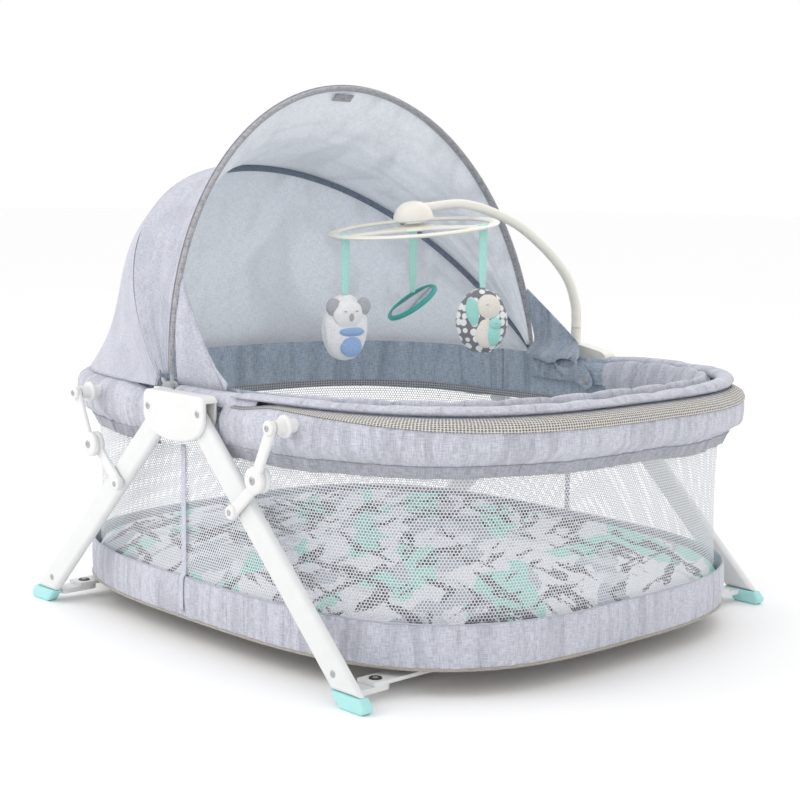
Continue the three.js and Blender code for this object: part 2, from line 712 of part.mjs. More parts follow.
// The ring: an outer band, a middle and three spokes, with the spindle on top
function makeRing() {
  const shape = circle(0, 0, RING_R, THREE.Shape);
  TOYS.forEach(({ angle }) => {
    const start = angle + 9 * DEG;
    const end = angle + 111 * DEG;
    const window = new THREE.Path();
    window.absarc(0, 0, RING_R - RING_BAND, start, end, false);
    window.absarc(0, 0, 24, end - 24 * DEG, start + 24 * DEG, true);
    shape.holes.push(window);
  });
  const plate = new THREE.ExtrudeGeometry(shape, {
    depth: 2, bevelEnabled: true, bevelThickness: 1.4, bevelSize: 1.4, bevelOffset: -1.4,
    bevelSegments: 1, curveSegments: 11,
  }).translate(0, 0, -1).rotateX(DROOP).translate(...RING_CENTRE);
  return join(plate, turned([[0, 1], [9, 1], [9, 6], [4.1, 8], [4.1, 17], [0, 17]], 20));
}

function ringPoint(angle) {
  return new THREE.Vector3(HANGER_R * Math.cos(angle), HANGER_R * Math.sin(angle), 0)
    .applyAxisAngle(new THREE.Vector3(1, 0, 0), DROOP)
    .add(new THREE.Vector3(...RING_CENTRE));
}

// A soft lens-shaped toy on its strap
function makeToy({ angle, size, middle }) {
  const [width, depth, height] = size;
  const anchor = ringPoint(angle);
  const top = anchor.z - 5;
  const body = new THREE.SphereGeometry(0.5, 14, 10).scale(width, depth, height)
    .translate(0, 0, middle);
  const strap = boxAt([-6, 6], [-0.8, 0.8], [middle, top]);
  return join(body, strap).rotateZ(-47 * DEG + Math.PI / 2).translate(anchor.x, anchor.y, 0);
}

// --- Assembly ---------------------------------------------------------------------------------

for (const [end, sx] of ENDS) {
  for (const [side, sy] of SIDES) {
    add(`leg_${end}_${side}`, makeLeg(sx, sy), WHITE);
    add(`foot_cap_${end}_${side}`, makeFoot(sx, sy), MINT);
    add(`tongue_${end}_${side}`, makeTongue(sx, sy), WHITE);
    add(`knee_upper_${end}_${side}`, makeUpperLink(sx, sy), WHITE);
    add(`knee_lower_${end}_${side}`, makeLowerLink(sx, sy), WHITE);
    add(`rim_stud_${end}_${side}`, makeRimStud(sx, sy), WHITE);
    add(`elbow_pin_${end}_${side}`, makeElbowPin(sx, sy), STEEL);
  }
  add(`cross_bar_${end}`, makeCrossBar(sx), WHITE);
  add(`rim_tube_${end}`, makeRimTube(sx), STEEL);
  add(`rim_cover_${end}`, makeRimCover(sx), HEATHER);
  add(`floor_board_${end}`, makeBoard(sx), BOARD);
}
for (const [side, sy] of SIDES) {
  add(`hub_cover_${side}`, makeHubCover(sy), WHITE);
  add(`hub_back_${side}`, makeHubBack(sy), WHITE);
}
add('rim_pad', makeRimPad(), HEATHER);
add('inner_lining', makeLining(), BLUE_GREY);
add('net_wall', makeNet(), NET);
add('base_band', makeBand(), HEATHER);
add('base_panel', makePanel(), HEATHER);
add('mattress', makeMattress(), PRINT);
add('bow_front', makeBow(FRONT_BOW, 2.6), STEEL);
add('bow_middle', makeBow(MID_BOW, 0), STEEL);
add('canopy_front_panel', makeFrontPanel(), BLUE_GREY);
add('canopy_rear_panel', makeRearPanel(), HEATHER);
add('canopy_wing_near', makeWing([-68, 404], [64, 298], -1), HEATHER);
add('canopy_wing_far', makeWing([-64, 368], [58, 278], 1), BLUE_GREY);
add('mobile_socket', makeSocket(), CREAM);
add('mobile_post', makePost(), CREAM);
add('mobile_arm', makeArm(), CREAM);
add('mobile_dome', makeDome(), CREAM);
add('mobile_ring', makeRing(), CREAM);
TOYS.forEach((toy) => add(toy.name, makeToy(toy), MINT));

export default bassinet;
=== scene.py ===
# %% [markdown]
# # A travel bassinet on a folding stand
#
# This file is a lesson in cells. It loads the fixed frame of the bassinet and then makes the cloth, net,
# plastic and plush that hang on it. Every object is in metres, and Z is up.

# %% Load the frame
import json
import math

import bmesh
import bpy
import numpy as np
from mathutils import Matrix, Vector, noise
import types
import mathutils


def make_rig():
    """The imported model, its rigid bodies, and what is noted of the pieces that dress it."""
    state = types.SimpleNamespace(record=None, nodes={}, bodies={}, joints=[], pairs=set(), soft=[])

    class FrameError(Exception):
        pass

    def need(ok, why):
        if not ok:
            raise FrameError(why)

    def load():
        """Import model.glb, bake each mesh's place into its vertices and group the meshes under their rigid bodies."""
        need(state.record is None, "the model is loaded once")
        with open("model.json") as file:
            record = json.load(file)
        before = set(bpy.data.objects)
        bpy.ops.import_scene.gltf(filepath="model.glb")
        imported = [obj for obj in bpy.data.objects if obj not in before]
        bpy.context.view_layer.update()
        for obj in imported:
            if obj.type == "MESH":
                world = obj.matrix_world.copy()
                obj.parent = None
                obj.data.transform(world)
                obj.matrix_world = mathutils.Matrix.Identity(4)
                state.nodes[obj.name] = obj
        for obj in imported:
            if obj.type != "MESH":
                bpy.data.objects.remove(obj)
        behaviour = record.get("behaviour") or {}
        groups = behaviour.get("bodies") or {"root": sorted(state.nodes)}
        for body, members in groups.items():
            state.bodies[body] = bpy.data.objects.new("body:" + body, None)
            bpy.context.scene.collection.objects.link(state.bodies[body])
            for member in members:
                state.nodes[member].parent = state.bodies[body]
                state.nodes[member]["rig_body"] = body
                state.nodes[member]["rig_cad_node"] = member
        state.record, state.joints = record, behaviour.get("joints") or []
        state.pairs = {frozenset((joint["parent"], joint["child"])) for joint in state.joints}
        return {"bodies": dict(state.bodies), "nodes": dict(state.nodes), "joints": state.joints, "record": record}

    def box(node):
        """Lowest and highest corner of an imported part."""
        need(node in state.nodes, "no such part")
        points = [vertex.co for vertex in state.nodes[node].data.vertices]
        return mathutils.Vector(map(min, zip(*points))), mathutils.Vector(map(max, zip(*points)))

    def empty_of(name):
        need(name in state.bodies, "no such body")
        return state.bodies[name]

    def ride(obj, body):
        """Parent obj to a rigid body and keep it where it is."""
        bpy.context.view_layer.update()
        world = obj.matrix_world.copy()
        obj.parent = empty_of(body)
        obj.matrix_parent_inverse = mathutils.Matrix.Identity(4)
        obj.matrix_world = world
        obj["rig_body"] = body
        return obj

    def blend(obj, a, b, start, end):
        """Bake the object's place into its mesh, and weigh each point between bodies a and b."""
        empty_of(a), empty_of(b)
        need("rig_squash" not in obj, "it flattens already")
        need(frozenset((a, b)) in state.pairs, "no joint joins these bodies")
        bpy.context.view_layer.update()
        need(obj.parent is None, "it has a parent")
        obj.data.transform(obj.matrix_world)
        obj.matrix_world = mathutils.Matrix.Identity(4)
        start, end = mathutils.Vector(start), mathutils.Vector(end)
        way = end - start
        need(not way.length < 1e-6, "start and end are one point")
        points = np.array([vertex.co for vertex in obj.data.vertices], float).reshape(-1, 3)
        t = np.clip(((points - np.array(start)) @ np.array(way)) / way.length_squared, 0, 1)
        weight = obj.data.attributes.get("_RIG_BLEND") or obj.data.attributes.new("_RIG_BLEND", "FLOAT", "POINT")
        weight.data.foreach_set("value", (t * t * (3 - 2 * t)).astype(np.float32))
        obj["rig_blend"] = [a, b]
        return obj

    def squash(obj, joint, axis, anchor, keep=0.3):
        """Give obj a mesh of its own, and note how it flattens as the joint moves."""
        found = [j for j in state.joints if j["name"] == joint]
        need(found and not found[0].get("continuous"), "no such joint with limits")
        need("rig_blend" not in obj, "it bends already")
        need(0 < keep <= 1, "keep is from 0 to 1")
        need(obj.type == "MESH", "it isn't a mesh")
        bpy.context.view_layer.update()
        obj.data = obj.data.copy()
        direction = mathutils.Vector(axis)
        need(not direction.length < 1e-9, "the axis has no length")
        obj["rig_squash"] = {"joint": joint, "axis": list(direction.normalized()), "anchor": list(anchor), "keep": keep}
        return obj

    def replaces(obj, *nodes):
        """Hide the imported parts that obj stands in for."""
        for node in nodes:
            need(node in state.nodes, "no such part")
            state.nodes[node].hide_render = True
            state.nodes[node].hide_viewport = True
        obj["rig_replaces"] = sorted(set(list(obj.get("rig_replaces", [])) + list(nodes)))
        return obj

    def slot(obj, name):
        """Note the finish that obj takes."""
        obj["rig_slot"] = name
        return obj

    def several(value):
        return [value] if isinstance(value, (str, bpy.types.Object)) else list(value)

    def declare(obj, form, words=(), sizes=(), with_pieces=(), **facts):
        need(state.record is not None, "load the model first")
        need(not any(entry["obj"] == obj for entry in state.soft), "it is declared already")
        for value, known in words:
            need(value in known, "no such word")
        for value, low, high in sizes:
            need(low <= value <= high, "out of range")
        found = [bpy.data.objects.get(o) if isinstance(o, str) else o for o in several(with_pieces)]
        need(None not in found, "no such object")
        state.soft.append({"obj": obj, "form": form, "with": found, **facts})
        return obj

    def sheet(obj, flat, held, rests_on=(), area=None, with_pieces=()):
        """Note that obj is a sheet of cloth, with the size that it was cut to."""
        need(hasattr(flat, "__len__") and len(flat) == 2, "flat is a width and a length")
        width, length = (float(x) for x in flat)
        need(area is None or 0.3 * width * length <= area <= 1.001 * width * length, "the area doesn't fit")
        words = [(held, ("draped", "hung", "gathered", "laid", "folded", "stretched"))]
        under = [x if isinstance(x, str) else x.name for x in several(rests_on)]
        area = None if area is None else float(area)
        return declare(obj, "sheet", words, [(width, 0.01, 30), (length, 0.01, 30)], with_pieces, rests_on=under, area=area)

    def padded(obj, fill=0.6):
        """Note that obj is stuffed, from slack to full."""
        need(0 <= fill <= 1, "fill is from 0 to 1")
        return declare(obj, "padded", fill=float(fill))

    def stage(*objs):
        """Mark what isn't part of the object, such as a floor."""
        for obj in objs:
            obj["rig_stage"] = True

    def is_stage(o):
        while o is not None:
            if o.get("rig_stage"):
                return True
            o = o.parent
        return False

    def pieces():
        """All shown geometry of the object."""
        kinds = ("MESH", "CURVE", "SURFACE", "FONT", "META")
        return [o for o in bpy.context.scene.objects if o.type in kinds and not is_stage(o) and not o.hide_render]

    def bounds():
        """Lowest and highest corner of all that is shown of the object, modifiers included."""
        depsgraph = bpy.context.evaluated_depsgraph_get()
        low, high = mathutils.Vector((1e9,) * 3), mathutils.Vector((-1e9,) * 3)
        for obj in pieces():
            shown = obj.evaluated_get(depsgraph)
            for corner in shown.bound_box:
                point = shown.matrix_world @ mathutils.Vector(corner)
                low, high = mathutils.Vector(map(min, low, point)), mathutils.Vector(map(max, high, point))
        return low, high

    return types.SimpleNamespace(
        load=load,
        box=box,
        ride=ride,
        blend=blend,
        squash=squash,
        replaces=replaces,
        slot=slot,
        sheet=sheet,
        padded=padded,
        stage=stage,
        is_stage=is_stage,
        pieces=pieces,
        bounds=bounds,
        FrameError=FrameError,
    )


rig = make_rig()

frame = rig.load()
cad_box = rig.bounds()
MM = 0.001
SIDES = (("near", -1), ("far", 1))
ENDS = (("foot", 1), ("head", -1))
print("frame:", len(frame["nodes"]), "pieces on", len(frame["bodies"]), "bodies")

# %% [markdown]
# ## The camera, the floor and the light
#
# A camera can be aimed with a Track To constraint, but then it can't roll. Here its right, up and forward
# directions are worked out from three angles and go straight into its matrix. The long lens keeps the
# oval of the tub calm. A pale floor and three big soft lamps make the plain light of a product table.

# %% Camera, floor and lamps
AZIMUTH, ELEVATION, ROLL = (math.radians(a) for a in (46.93, 7.31, 0.68))
CAMERA_LENS = 72.0
CAMERA_DISTANCE = 2.017
CAMERA_SHIFT = (-0.002, -0.2519)


def make_camera():
    ahead = Vector((-math.sin(AZIMUTH) * math.cos(ELEVATION), math.cos(AZIMUTH) * math.cos(ELEVATION),
                    -math.sin(ELEVATION)))
    level = Vector((math.cos(AZIMUTH), math.sin(AZIMUTH), 0))
    above = level.cross(ahead)
    right = math.cos(ROLL) * level + math.sin(ROLL) * above
    up = math.cos(ROLL) * above - math.sin(ROLL) * level
    place = -(CAMERA_SHIFT[0] * right + CAMERA_SHIFT[1] * up + CAMERA_DISTANCE * ahead)
    camera = bpy.data.objects.new("camera", bpy.data.cameras.new("camera"))
    camera.data.lens = CAMERA_LENS
    camera.matrix_world = Matrix.Translation(place) @ Matrix((right, up, -ahead)).transposed().to_4x4()
    bpy.context.scene.collection.objects.link(camera)
    bpy.context.scene.camera = camera


def lamp(name, place, target, size, watts):
    light = bpy.data.lights.new(name, "AREA")
    light.energy = watts
    light.shape = "DISK"
    light.size = size
    obj = bpy.data.objects.new(name, light)
    obj.location = place
    obj.rotation_euler = (Vector(target) - Vector(place)).to_track_quat("-Z", "Y").to_euler()
    bpy.context.scene.collection.objects.link(obj)


make_camera()
middle = (0, 0, 0.3)
lamp("key", (-1.5, -2.4, 2.3), middle, 2.2, 30)
lamp("fill", (2.2, -2.2, 1.2), middle, 2.6, 4)
lamp("back", (-0.8, 2.4, 2.4), middle, 2.2, 12)
world = bpy.data.worlds.new("studio")
world.use_nodes = True
world.node_tree.nodes["Background"].inputs["Color"].default_value = (1, 1, 1, 1)
world.node_tree.nodes["Background"].inputs["Strength"].default_value = 1.0
bpy.context.scene.world = world
bpy.context.scene.view_settings.view_transform = "Standard"
print("camera and 3 lamps, lens", CAMERA_LENS, "mm")

# %% [markdown]
# ## Tools for materials
#
# A finish here is a Principled shader with a few texture nodes in front of it. `Finish` keeps the wiring
# short: it makes nodes, joins them, and mixes colours. Plain numbers are always set on the shader itself.


# %% Material helpers
class Finish:
    def __init__(self, name, color, roughness, **shader):
        self.material = bpy.data.materials.new(name)
        self.material.use_nodes = True
        self.tree = self.material.node_tree
        self.shader = self.tree.nodes["Principled BSDF"]
        self.set(**{"Base Color": (*color, 1), "Roughness": roughness})
        self.set(**{k.replace("_", " ").title(): v for k, v in shader.items()})

    def set(self, **values):
        for socket, value in values.items():
            self.shader.inputs[socket].default_value = value

    def node(self, kind, inputs=None, **settings):
        made = self.tree.nodes.new(kind)
        for name, value in settings.items():
            setattr(made, name, value)
        for name, value in (inputs or {}).items():
            self.feed(made.inputs[name], value)
        return made

    def feed(self, socket, value):
        if isinstance(value, bpy.types.NodeSocket):
            self.tree.links.new(value, socket)
        else:
            socket.default_value = value

    def coordinates(self, source, scale):
        where = self.node("ShaderNodeTexCoord").outputs[source]
        return self.node("ShaderNodeMapping", {"Vector": where, "Scale": scale}).outputs[0]

    def noise(self, source, scale, detail=2.0, roughness=0.55, distortion=0.0):
        where = self.coordinates(source, scale)
        return self.node("ShaderNodeTexNoise", {
            "Vector": where, "Scale": 1.0, "Detail": detail, "Roughness": roughness, "Distortion": distortion,
        }).outputs["Fac"]

    def math(self, operation, first, second=0.0):
        made = self.node("ShaderNodeMath", operation=operation)
        self.feed(made.inputs[0], first)
        self.feed(made.inputs[1], second)
        return made.outputs[0]

    def ramp(self, factor, low, high, smooth=True):
        kind = "SMOOTHSTEP" if smooth else "LINEAR"
        return self.node("ShaderNodeMapRange", {"Value": factor, "From Min": low, "From Max": high},
                         interpolation_type=kind).outputs[0]

    def mix(self, factor, first, second, blend="MIX"):
        made = self.node("ShaderNodeMix", data_type="RGBA", blend_type=blend)
        self.feed(made.inputs["Factor"], factor)
        colors = [s for s in made.inputs if s.type == "RGBA"]
        self.feed(colors[0], first if isinstance(first, bpy.types.NodeSocket) else (*first, 1))
        self.feed(colors[1], second if isinstance(second, bpy.types.NodeSocket) else (*second, 1))
        return [s for s in made.outputs if s.type == "RGBA"][0]

    def bump(self, height, distance, strength=1.0):
        made = self.node("ShaderNodeBump", {"Height": height, "Distance": distance, "Strength": strength})
        self.tree.links.new(made.outputs[0], self.shader.inputs["Normal"])

    def color(self, socket):
        self.tree.links.new(socket, self.shader.inputs["Base Color"])


# %% [markdown]
# ## Woven cloths
#
# Heather cloth is woven from yarn that is dyed in several tones, so each thread changes along its length.
# Two stretched noises, one along the warp and one along the weft, give those threads both their colour
# and their height. They run on the piece's own UV map, which is in metres, so the weave bends with it.


# %% Cloth finishes
def cloth(name, dark, pale, yarn=0.8, bump=0.25, wrinkle=0.0, spacing=(1, 1), sheen=0.25, roughness=0.95):
    """bump and wrinkle are heights in millimetres, and spacing is how many wrinkles a metre holds. The wrinkle height
    also sets how deep the painted shade in the fold valleys is.
    """
    made = Finish(name, pale, roughness, sheen_weight=sheen, sheen_roughness=0.6)
    fine = 1000 / yarn
    warp = made.noise("UV", (fine, fine / 9, 1), detail=1.5)
    weft = made.noise("UV", (fine / 9, fine, 1), detail=1.5)
    threads = made.math("MULTIPLY", made.math("ADD", warp, weft), 0.5)
    clouds = made.noise("UV", (14, 14, 1), detail=3)
    tone = made.ramp(threads, 0.38, 0.60)
    woven = made.mix(tone, dark, pale)
    shade = made.mix(made.ramp(clouds, 0.35, 0.65), tuple(c * 0.92 for c in pale), pale)
    color = made.mix(0.25, woven, shade)
    folds = made.noise("UV", (*spacing, 1), detail=2, distortion=1.2)
    height = made.math("ADD", made.math("MULTIPLY", threads, bump), made.math("MULTIPLY", folds, wrinkle))
    made.bump(height, MM, 0.85)
    # Painted shade: the colour is darkened towards a deep tone of the cloth in the valleys of the wrinkle noise, where
    # shade would fall in the folds.
    painted_valley_shade = made.ramp(folds, 0.58, 0.34)
    depth = made.math("MULTIPLY", painted_valley_shade, min(wrinkle, 10) * 0.035)
    made.color(made.mix(depth, color, tuple(c * 0.4 for c in dark)))
    return made


HEATHER = cloth("gathered heather cloth", (0.37, 0.38, 0.46), (0.62, 0.63, 0.70),
                0.95, wrinkle=7, spacing=(60, 7))
HEATHER_FLAT = cloth("heather cloth", (0.33, 0.34, 0.42), (0.57, 0.58, 0.65),
                     0.95, wrinkle=4, spacing=(12, 9))
CANOPY_IN_PAINTED_GLOW = cloth("canopy lining cloth", (0.60, 0.62, 0.68), (0.82, 0.84, 0.89),
                  0.9, wrinkle=8, spacing=(11, 6))
LINING = cloth("blue-grey lining cloth", (0.23, 0.28, 0.36), (0.50, 0.56, 0.66),
               1.1, wrinkle=14, spacing=(30, 5))
BINDING = cloth("grey woven binding", (0.16, 0.16, 0.18), (0.44, 0.44, 0.47), yarn=1.1, bump=0.4)
NAVY_BINDING = cloth("dark blue-grey binding", (0.07, 0.09, 0.13), (0.20, 0.24, 0.32), yarn=1.0)
TAUPE = cloth("taupe piping cloth", (0.22, 0.20, 0.18), (0.42, 0.39, 0.35), yarn=0.9)
TAPE = cloth("seam tape cloth", (0.40, 0.41, 0.50), (0.62, 0.63, 0.72), yarn=0.7)
RIBBON = cloth("mint satin ribbon", (0.30, 0.66, 0.60), (0.48, 0.82, 0.75), yarn=0.5, bump=0.1,
               sheen=0.1, roughness=0.55)
PLUSH = cloth("white plush", (0.74, 0.75, 0.78), (0.92, 0.92, 0.93), yarn=1.4, bump=0.6)
PLUSH_GREY = cloth("grey plush", (0.32, 0.33, 0.36), (0.50, 0.51, 0.55), yarn=1.4, bump=0.6)
PLUSH_CREAM = cloth("cream plush", (0.72, 0.66, 0.60), (0.88, 0.83, 0.77), yarn=1.4, bump=0.6)
PLUSH_MINT = cloth("mint plush", (0.25, 0.62, 0.58), (0.42, 0.78, 0.72), yarn=1.4, bump=0.6)
PLUSH_BLUE = cloth("blue plush", (0.20, 0.34, 0.62), (0.36, 0.52, 0.80), yarn=1.4, bump=0.6)
# A faint emission on the lining paints the light that comes through the canopy cloth from behind; the lining is no
# lamp.
CANOPY_IN_PAINTED_GLOW.set(**{"Emission Color": (0.92, 0.95, 1.0, 1), "Emission Strength": 0.14})
HEM = cloth("folded hem cloth", (0.22, 0.23, 0.27), (0.42, 0.43, 0.49), 1.0, wrinkle=4, spacing=(60, 7))
THREAD = cloth("sewing thread", (0.30, 0.31, 0.36), (0.50, 0.51, 0.56), yarn=0.5)
print("cloths:", len(bpy.data.materials))

# %% [markdown]
# ## Plastics, paint and metal
#
# Moulded plastic is never quite flat: a faint large ripple in the bump and a slow change of roughness
# are enough for the lamps to show it. Powder coat has more of the fine grain, like orange peel.


# %% Hard finishes
def moulded(name, color, roughness=0.38, grain=0.0, **shader):
    made = Finish(name, color, roughness, **shader)
    slow = made.noise("Object", (60, 60, 60), detail=2)
    fine = made.noise("Object", (900, 900, 900), detail=2)
    worn = made.mix(made.ramp(slow, 0.3, 0.7), tuple(c * 0.975 for c in color), color)
    made.color(worn)
    rough = made.node("ShaderNodeMapRange", {
        "Value": slow, "To Min": roughness - 0.05, "To Max": roughness + 0.06}).outputs[0]
    made.tree.links.new(rough, made.shader.inputs["Roughness"])
    made.bump(made.math("ADD", slow, made.math("MULTIPLY", fine, grain)), 0.15 * MM, 0.35)
    return made


WHITE = moulded("white moulded plastic", (0.79, 0.79, 0.785), 0.36, 0.15)
CREAM = moulded("cream moulded plastic", (0.84, 0.82, 0.75), 0.34, 0.1)
COATED = moulded("white powder coat", (0.77, 0.775, 0.775), 0.42, 0.8)
MINT = moulded("mint rubber", (0.42, 0.76, 0.75), 0.55, 0.6)
SCREW = moulded("zinc screw", (0.46, 0.46, 0.46), 0.38, 0.4, metallic=0.85)
BLACK = moulded("black washer", (0.03, 0.03, 0.03), 0.5, 0.4)
MIRROR = moulded("mirror foil", (0.75, 0.76, 0.78), 0.12, 0.0, metallic=1.0)
TEAL = moulded("teal frame", (0.06, 0.42, 0.37), 0.4, 0.2)
BOARD = moulded("grey board", (0.30, 0.27, 0.23), 0.8, 1.0)
print("materials:", len(bpy.data.materials))

# %% [markdown]
# ## The net's finish and two trims
#
# The wall net is real geometry, so its cloth finish is plain knitted white. The strip under the rim roll
# is a beige spacer net whose dark holes are too small to model: a Voronoi cell pattern on its UV map gives
# a row of soft hexagonal holes, in both colour and height. The lining's trim uses the same trick.


# %% Dotted trims
def dotted(name, ground, hole, pitch, size=0.30, depth=0.4):
    made = Finish(name, ground, 0.9, sheen_weight=0.15)
    where = made.coordinates("UV", (1 / pitch, 1 / pitch * 1.1547, 1))
    cells = made.node("ShaderNodeTexVoronoi", {"Vector": where, "Scale": 1.0, "Randomness": 0.12})
    inside = made.ramp(cells.outputs["Distance"], size, size + 0.14)
    weave = made.noise("UV", (900, 900, 1), detail=2)
    thread = made.mix(weave, tuple(c * 0.8 for c in ground), ground)
    made.color(made.mix(inside, hole, thread))
    made.bump(inside, depth * MM, 0.8)
    return made


NET = cloth("white net yarn", (0.58, 0.59, 0.63), (0.77, 0.78, 0.81), yarn=0.5, bump=0.1)
STRIP = dotted("beige spacer net", (0.74, 0.71, 0.66), (0.16, 0.15, 0.15), 3.0 * MM, 0.30)
TRIM = dotted("grey dotted trim", (0.47, 0.47, 0.49), (0.10, 0.11, 0.13), 4.0 * MM, 0.24)
print("net finish:", NET.material.name, "and two trims")

# %% [markdown]
# ## From a grid to cloth
#
# Most of the bassinet is cloth on a curve, and all of it starts as the same thing: a flat grid from
# `bmesh.ops.create_grid`, whose UV map comes with it. `surface` moves each vertex to the place that a
# formula gives for its U and V, closes the grid where its edges meet, and scales the UV map to metres.


# %% Surface helpers
def add_object(name, bm, finish, smooth=True):
    mesh = bpy.data.meshes.new(name)
    bm.to_mesh(mesh)
    bm.free()
    obj = bpy.data.objects.new(name, mesh)
    bpy.context.scene.collection.objects.link(obj)
    mesh.materials.append(finish.material)
    if smooth:
        mesh.shade_smooth()
    return obj


def surface(name, place, columns, rows, size, finish, close=False, flip=False):
    bm = bmesh.new()
    layer = bm.loops.layers.uv.new("UVMap")
    bmesh.ops.create_grid(bm, x_segments=columns, y_segments=rows, size=0.5, calc_uvs=True)
    for vert in bm.verts:
        vert.co = place(vert.co.x + 0.5, vert.co.y + 0.5)
    for face in bm.faces:
        for loop in face.loops:
            loop[layer].uv = (loop[layer].uv[0] * size[0], loop[layer].uv[1] * size[1])
    if close:
        bmesh.ops.remove_doubles(bm, verts=bm.verts, dist=0.01 * MM)
        bmesh.ops.recalc_face_normals(bm, faces=bm.faces)
    if flip:
        bmesh.ops.reverse_faces(bm, faces=bm.faces)
    return add_object(name, bm, finish)


def thicken(obj, thickness, offset=0.0):
    modifier = obj.modifiers.new("thickness", "SOLIDIFY")
    modifier.thickness = thickness
    modifier.offset = offset
    return apply_modifiers(obj)


def apply_modifiers(obj):
    view = bpy.context.evaluated_depsgraph_get()
    made = bpy.data.meshes.new_from_object(obj.evaluated_get(view), preserve_all_data_layers=True,
                                           depsgraph=view)
    old = obj.data
    obj.modifiers.clear()
    obj.data = made
    bpy.data.meshes.remove(old)
    return obj


def ready(obj, body, slot, *replaced, blend=None):
    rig.slot(obj, slot)
    if replaced:
        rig.replaces(obj, *replaced)
    if blend:
        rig.blend(obj, body, *blend)
    else:
        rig.ride(obj, body)
    print(f"{obj.name}: {len(obj.data.polygons)} faces on {body}")
    return obj


def dress(finish, *names):
    """Give a finish to frame pieces that keep their own shape."""
    for name in names:
        materials = frame["nodes"][name].data.materials
        materials.clear()
        materials.append(finish.material)


# %% [markdown]
# ## The oval of the tub
#
# Seen from above, the tub is a superellipse: rounder than a box and squarer than an ellipse. Its half
# lengths are read from the frame's rim tube. `oval` gives the point at a polar angle and the direction
# straight out of it, and `ripple` gives the small uneven gathers that every stretched cloth here shares.

# %% Oval and gathers
tube_low, tube_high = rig.box("rim_tube_foot")
TUBE_R = (tube_high.z - tube_low.z) / 2
RIM_A = tube_high.x - TUBE_R
RIM_B = tube_high.y - TUBE_R
RIM_POWER = 3.2
NET_POWER = 3.0


def oval(a, b, power, angle):
    c, s = math.cos(angle), math.sin(angle)
    radius = (abs(c / a) ** power + abs(s / b) ** power) ** (-1 / power)
    x, y = radius * c, radius * s
    out = Vector((math.copysign(abs(x) ** (power - 1) / a ** power, x),
                  math.copysign(abs(y) ** (power - 1) / b ** power, y), 0)).normalized()
    return Vector((x, y, 0)), out


def rim_angle(x):
    return math.atan2(RIM_B * (1 - (x / RIM_A) ** RIM_POWER) ** (1 / RIM_POWER), x)


def smoothstep(low, high, x):
    t = min(max((x - low) / (high - low), 0), 1)
    return t * t * (3 - 2 * t)


def ripple(s, seed, pitch=0.02):
    """Uneven waves along a length s in metres, between about -1 and 1."""
    here = Vector((s / pitch, seed * 7.3, 0.4))
    return 1.6 * noise.noise(here) + 0.8 * noise.noise(here * 2.3)


PERIMETER = 2 * math.pi * math.sqrt((RIM_A ** 2 + RIM_B ** 2) / 2) * 1.06
print(f"rim oval {2 * RIM_A:.3f} by {2 * RIM_B:.3f} m, about {PERIMETER:.2f} m round")

# %% [markdown]
# ## The rim cover
#
# The two rim tubes wear a heather sleeve that arches over them and hangs down as a gathered skirt. It is
# one surface: U runs round the end of the tub, and V over the section, from the inside of the arch to the
# skirt's hem. The gathers grow towards the hem, where elastic pulls the cloth in.

# %% Rim cover
net_low, net_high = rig.box("net_wall")
NET_FOLD = ("tub_floor", (0, 0, net_high.z), (0, 0, net_low.z))
NET_A, NET_B = net_high.x - 1.2 * MM, net_high.y - 1.2 * MM
cover_low, cover_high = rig.box("rim_cover_foot")
SKIRT_Z = cover_low.z
ROLL_Z = cover_high.z
COVER_START = 60 * MM


def spline(points, t):
    """A smooth curve through a few (u, v) pairs, t from 0 to 1."""
    count = len(points) - 1
    k = min(int(t * count), count - 1)
    f = t * count - k
    p = [Vector(points[min(max(k + i, 0), count)]) for i in (-1, 0, 1, 2)]
    return 0.5 * ((2 * p[1]) + (p[2] - p[0]) * f + (2 * p[0] - 5 * p[1] + 4 * p[2] - p[3]) * f * f
                  + (3 * p[1] - p[0] - 3 * p[2] + p[3]) * f ** 3)


def cover_section(x):
    bulge = (10.8 + 8.0 * smoothstep(0.070, 0.210, abs(x))) * MM
    dip = 7 * MM * (1 - smoothstep(0.080, 0.150, abs(x)))
    top = ROLL_Z - dip
    inside = [(-15.5 * MM, SKIRT_Z + 2 * MM), (-16 * MM, 0.250), (-16 * MM, 0.269)]
    arch = [(-11.5 * MM, top - 2.5 * MM), (1 * MM, top - 0.5 * MM), (bulge - 3 * MM, top - 7 * MM)]
    return inside + arch + [(bulge, 0.264), (bulge - 1.5 * MM, 0.248), (8 * MM, 0.239), (1.8 * MM, SKIRT_Z)]


def gathers(s, v):
    """How far the sleeve's small folds push it out, at a length s and a place v on its section."""
    hem = smoothstep(0.50, 0.95, v)
    body = smoothstep(0.30, 0.55, v)
    return (2.4 * hem * ripple(s, 1, 0.016) + 1.2 * body * ripple(s, 2, 0.045 + 0.01 * v)) * MM


def tuck(point, out, v):
    """How far the hem is drawn in to meet the net, which is a little smaller than the rim at the ends."""
    net = oval(NET_A, NET_B, NET_POWER, math.atan2(point.y, point.x))[0]
    return min(0, (net - point).dot(out) + 1 * MM) * smoothstep(0.7, 1.0, v)


def hem_wave(s, v):
    return 2.2 * MM * smoothstep(0.8, 1.0, v) * ripple(s, 3, 0.16)


def end_sweep(end, x_from):
    """Where a piece that wraps one end of the rim is centred, half the angle it spans, and its length."""
    half_angle = rim_angle(x_from)
    return (0 if end == "foot" else math.pi), half_angle, PERIMETER * half_angle / math.pi


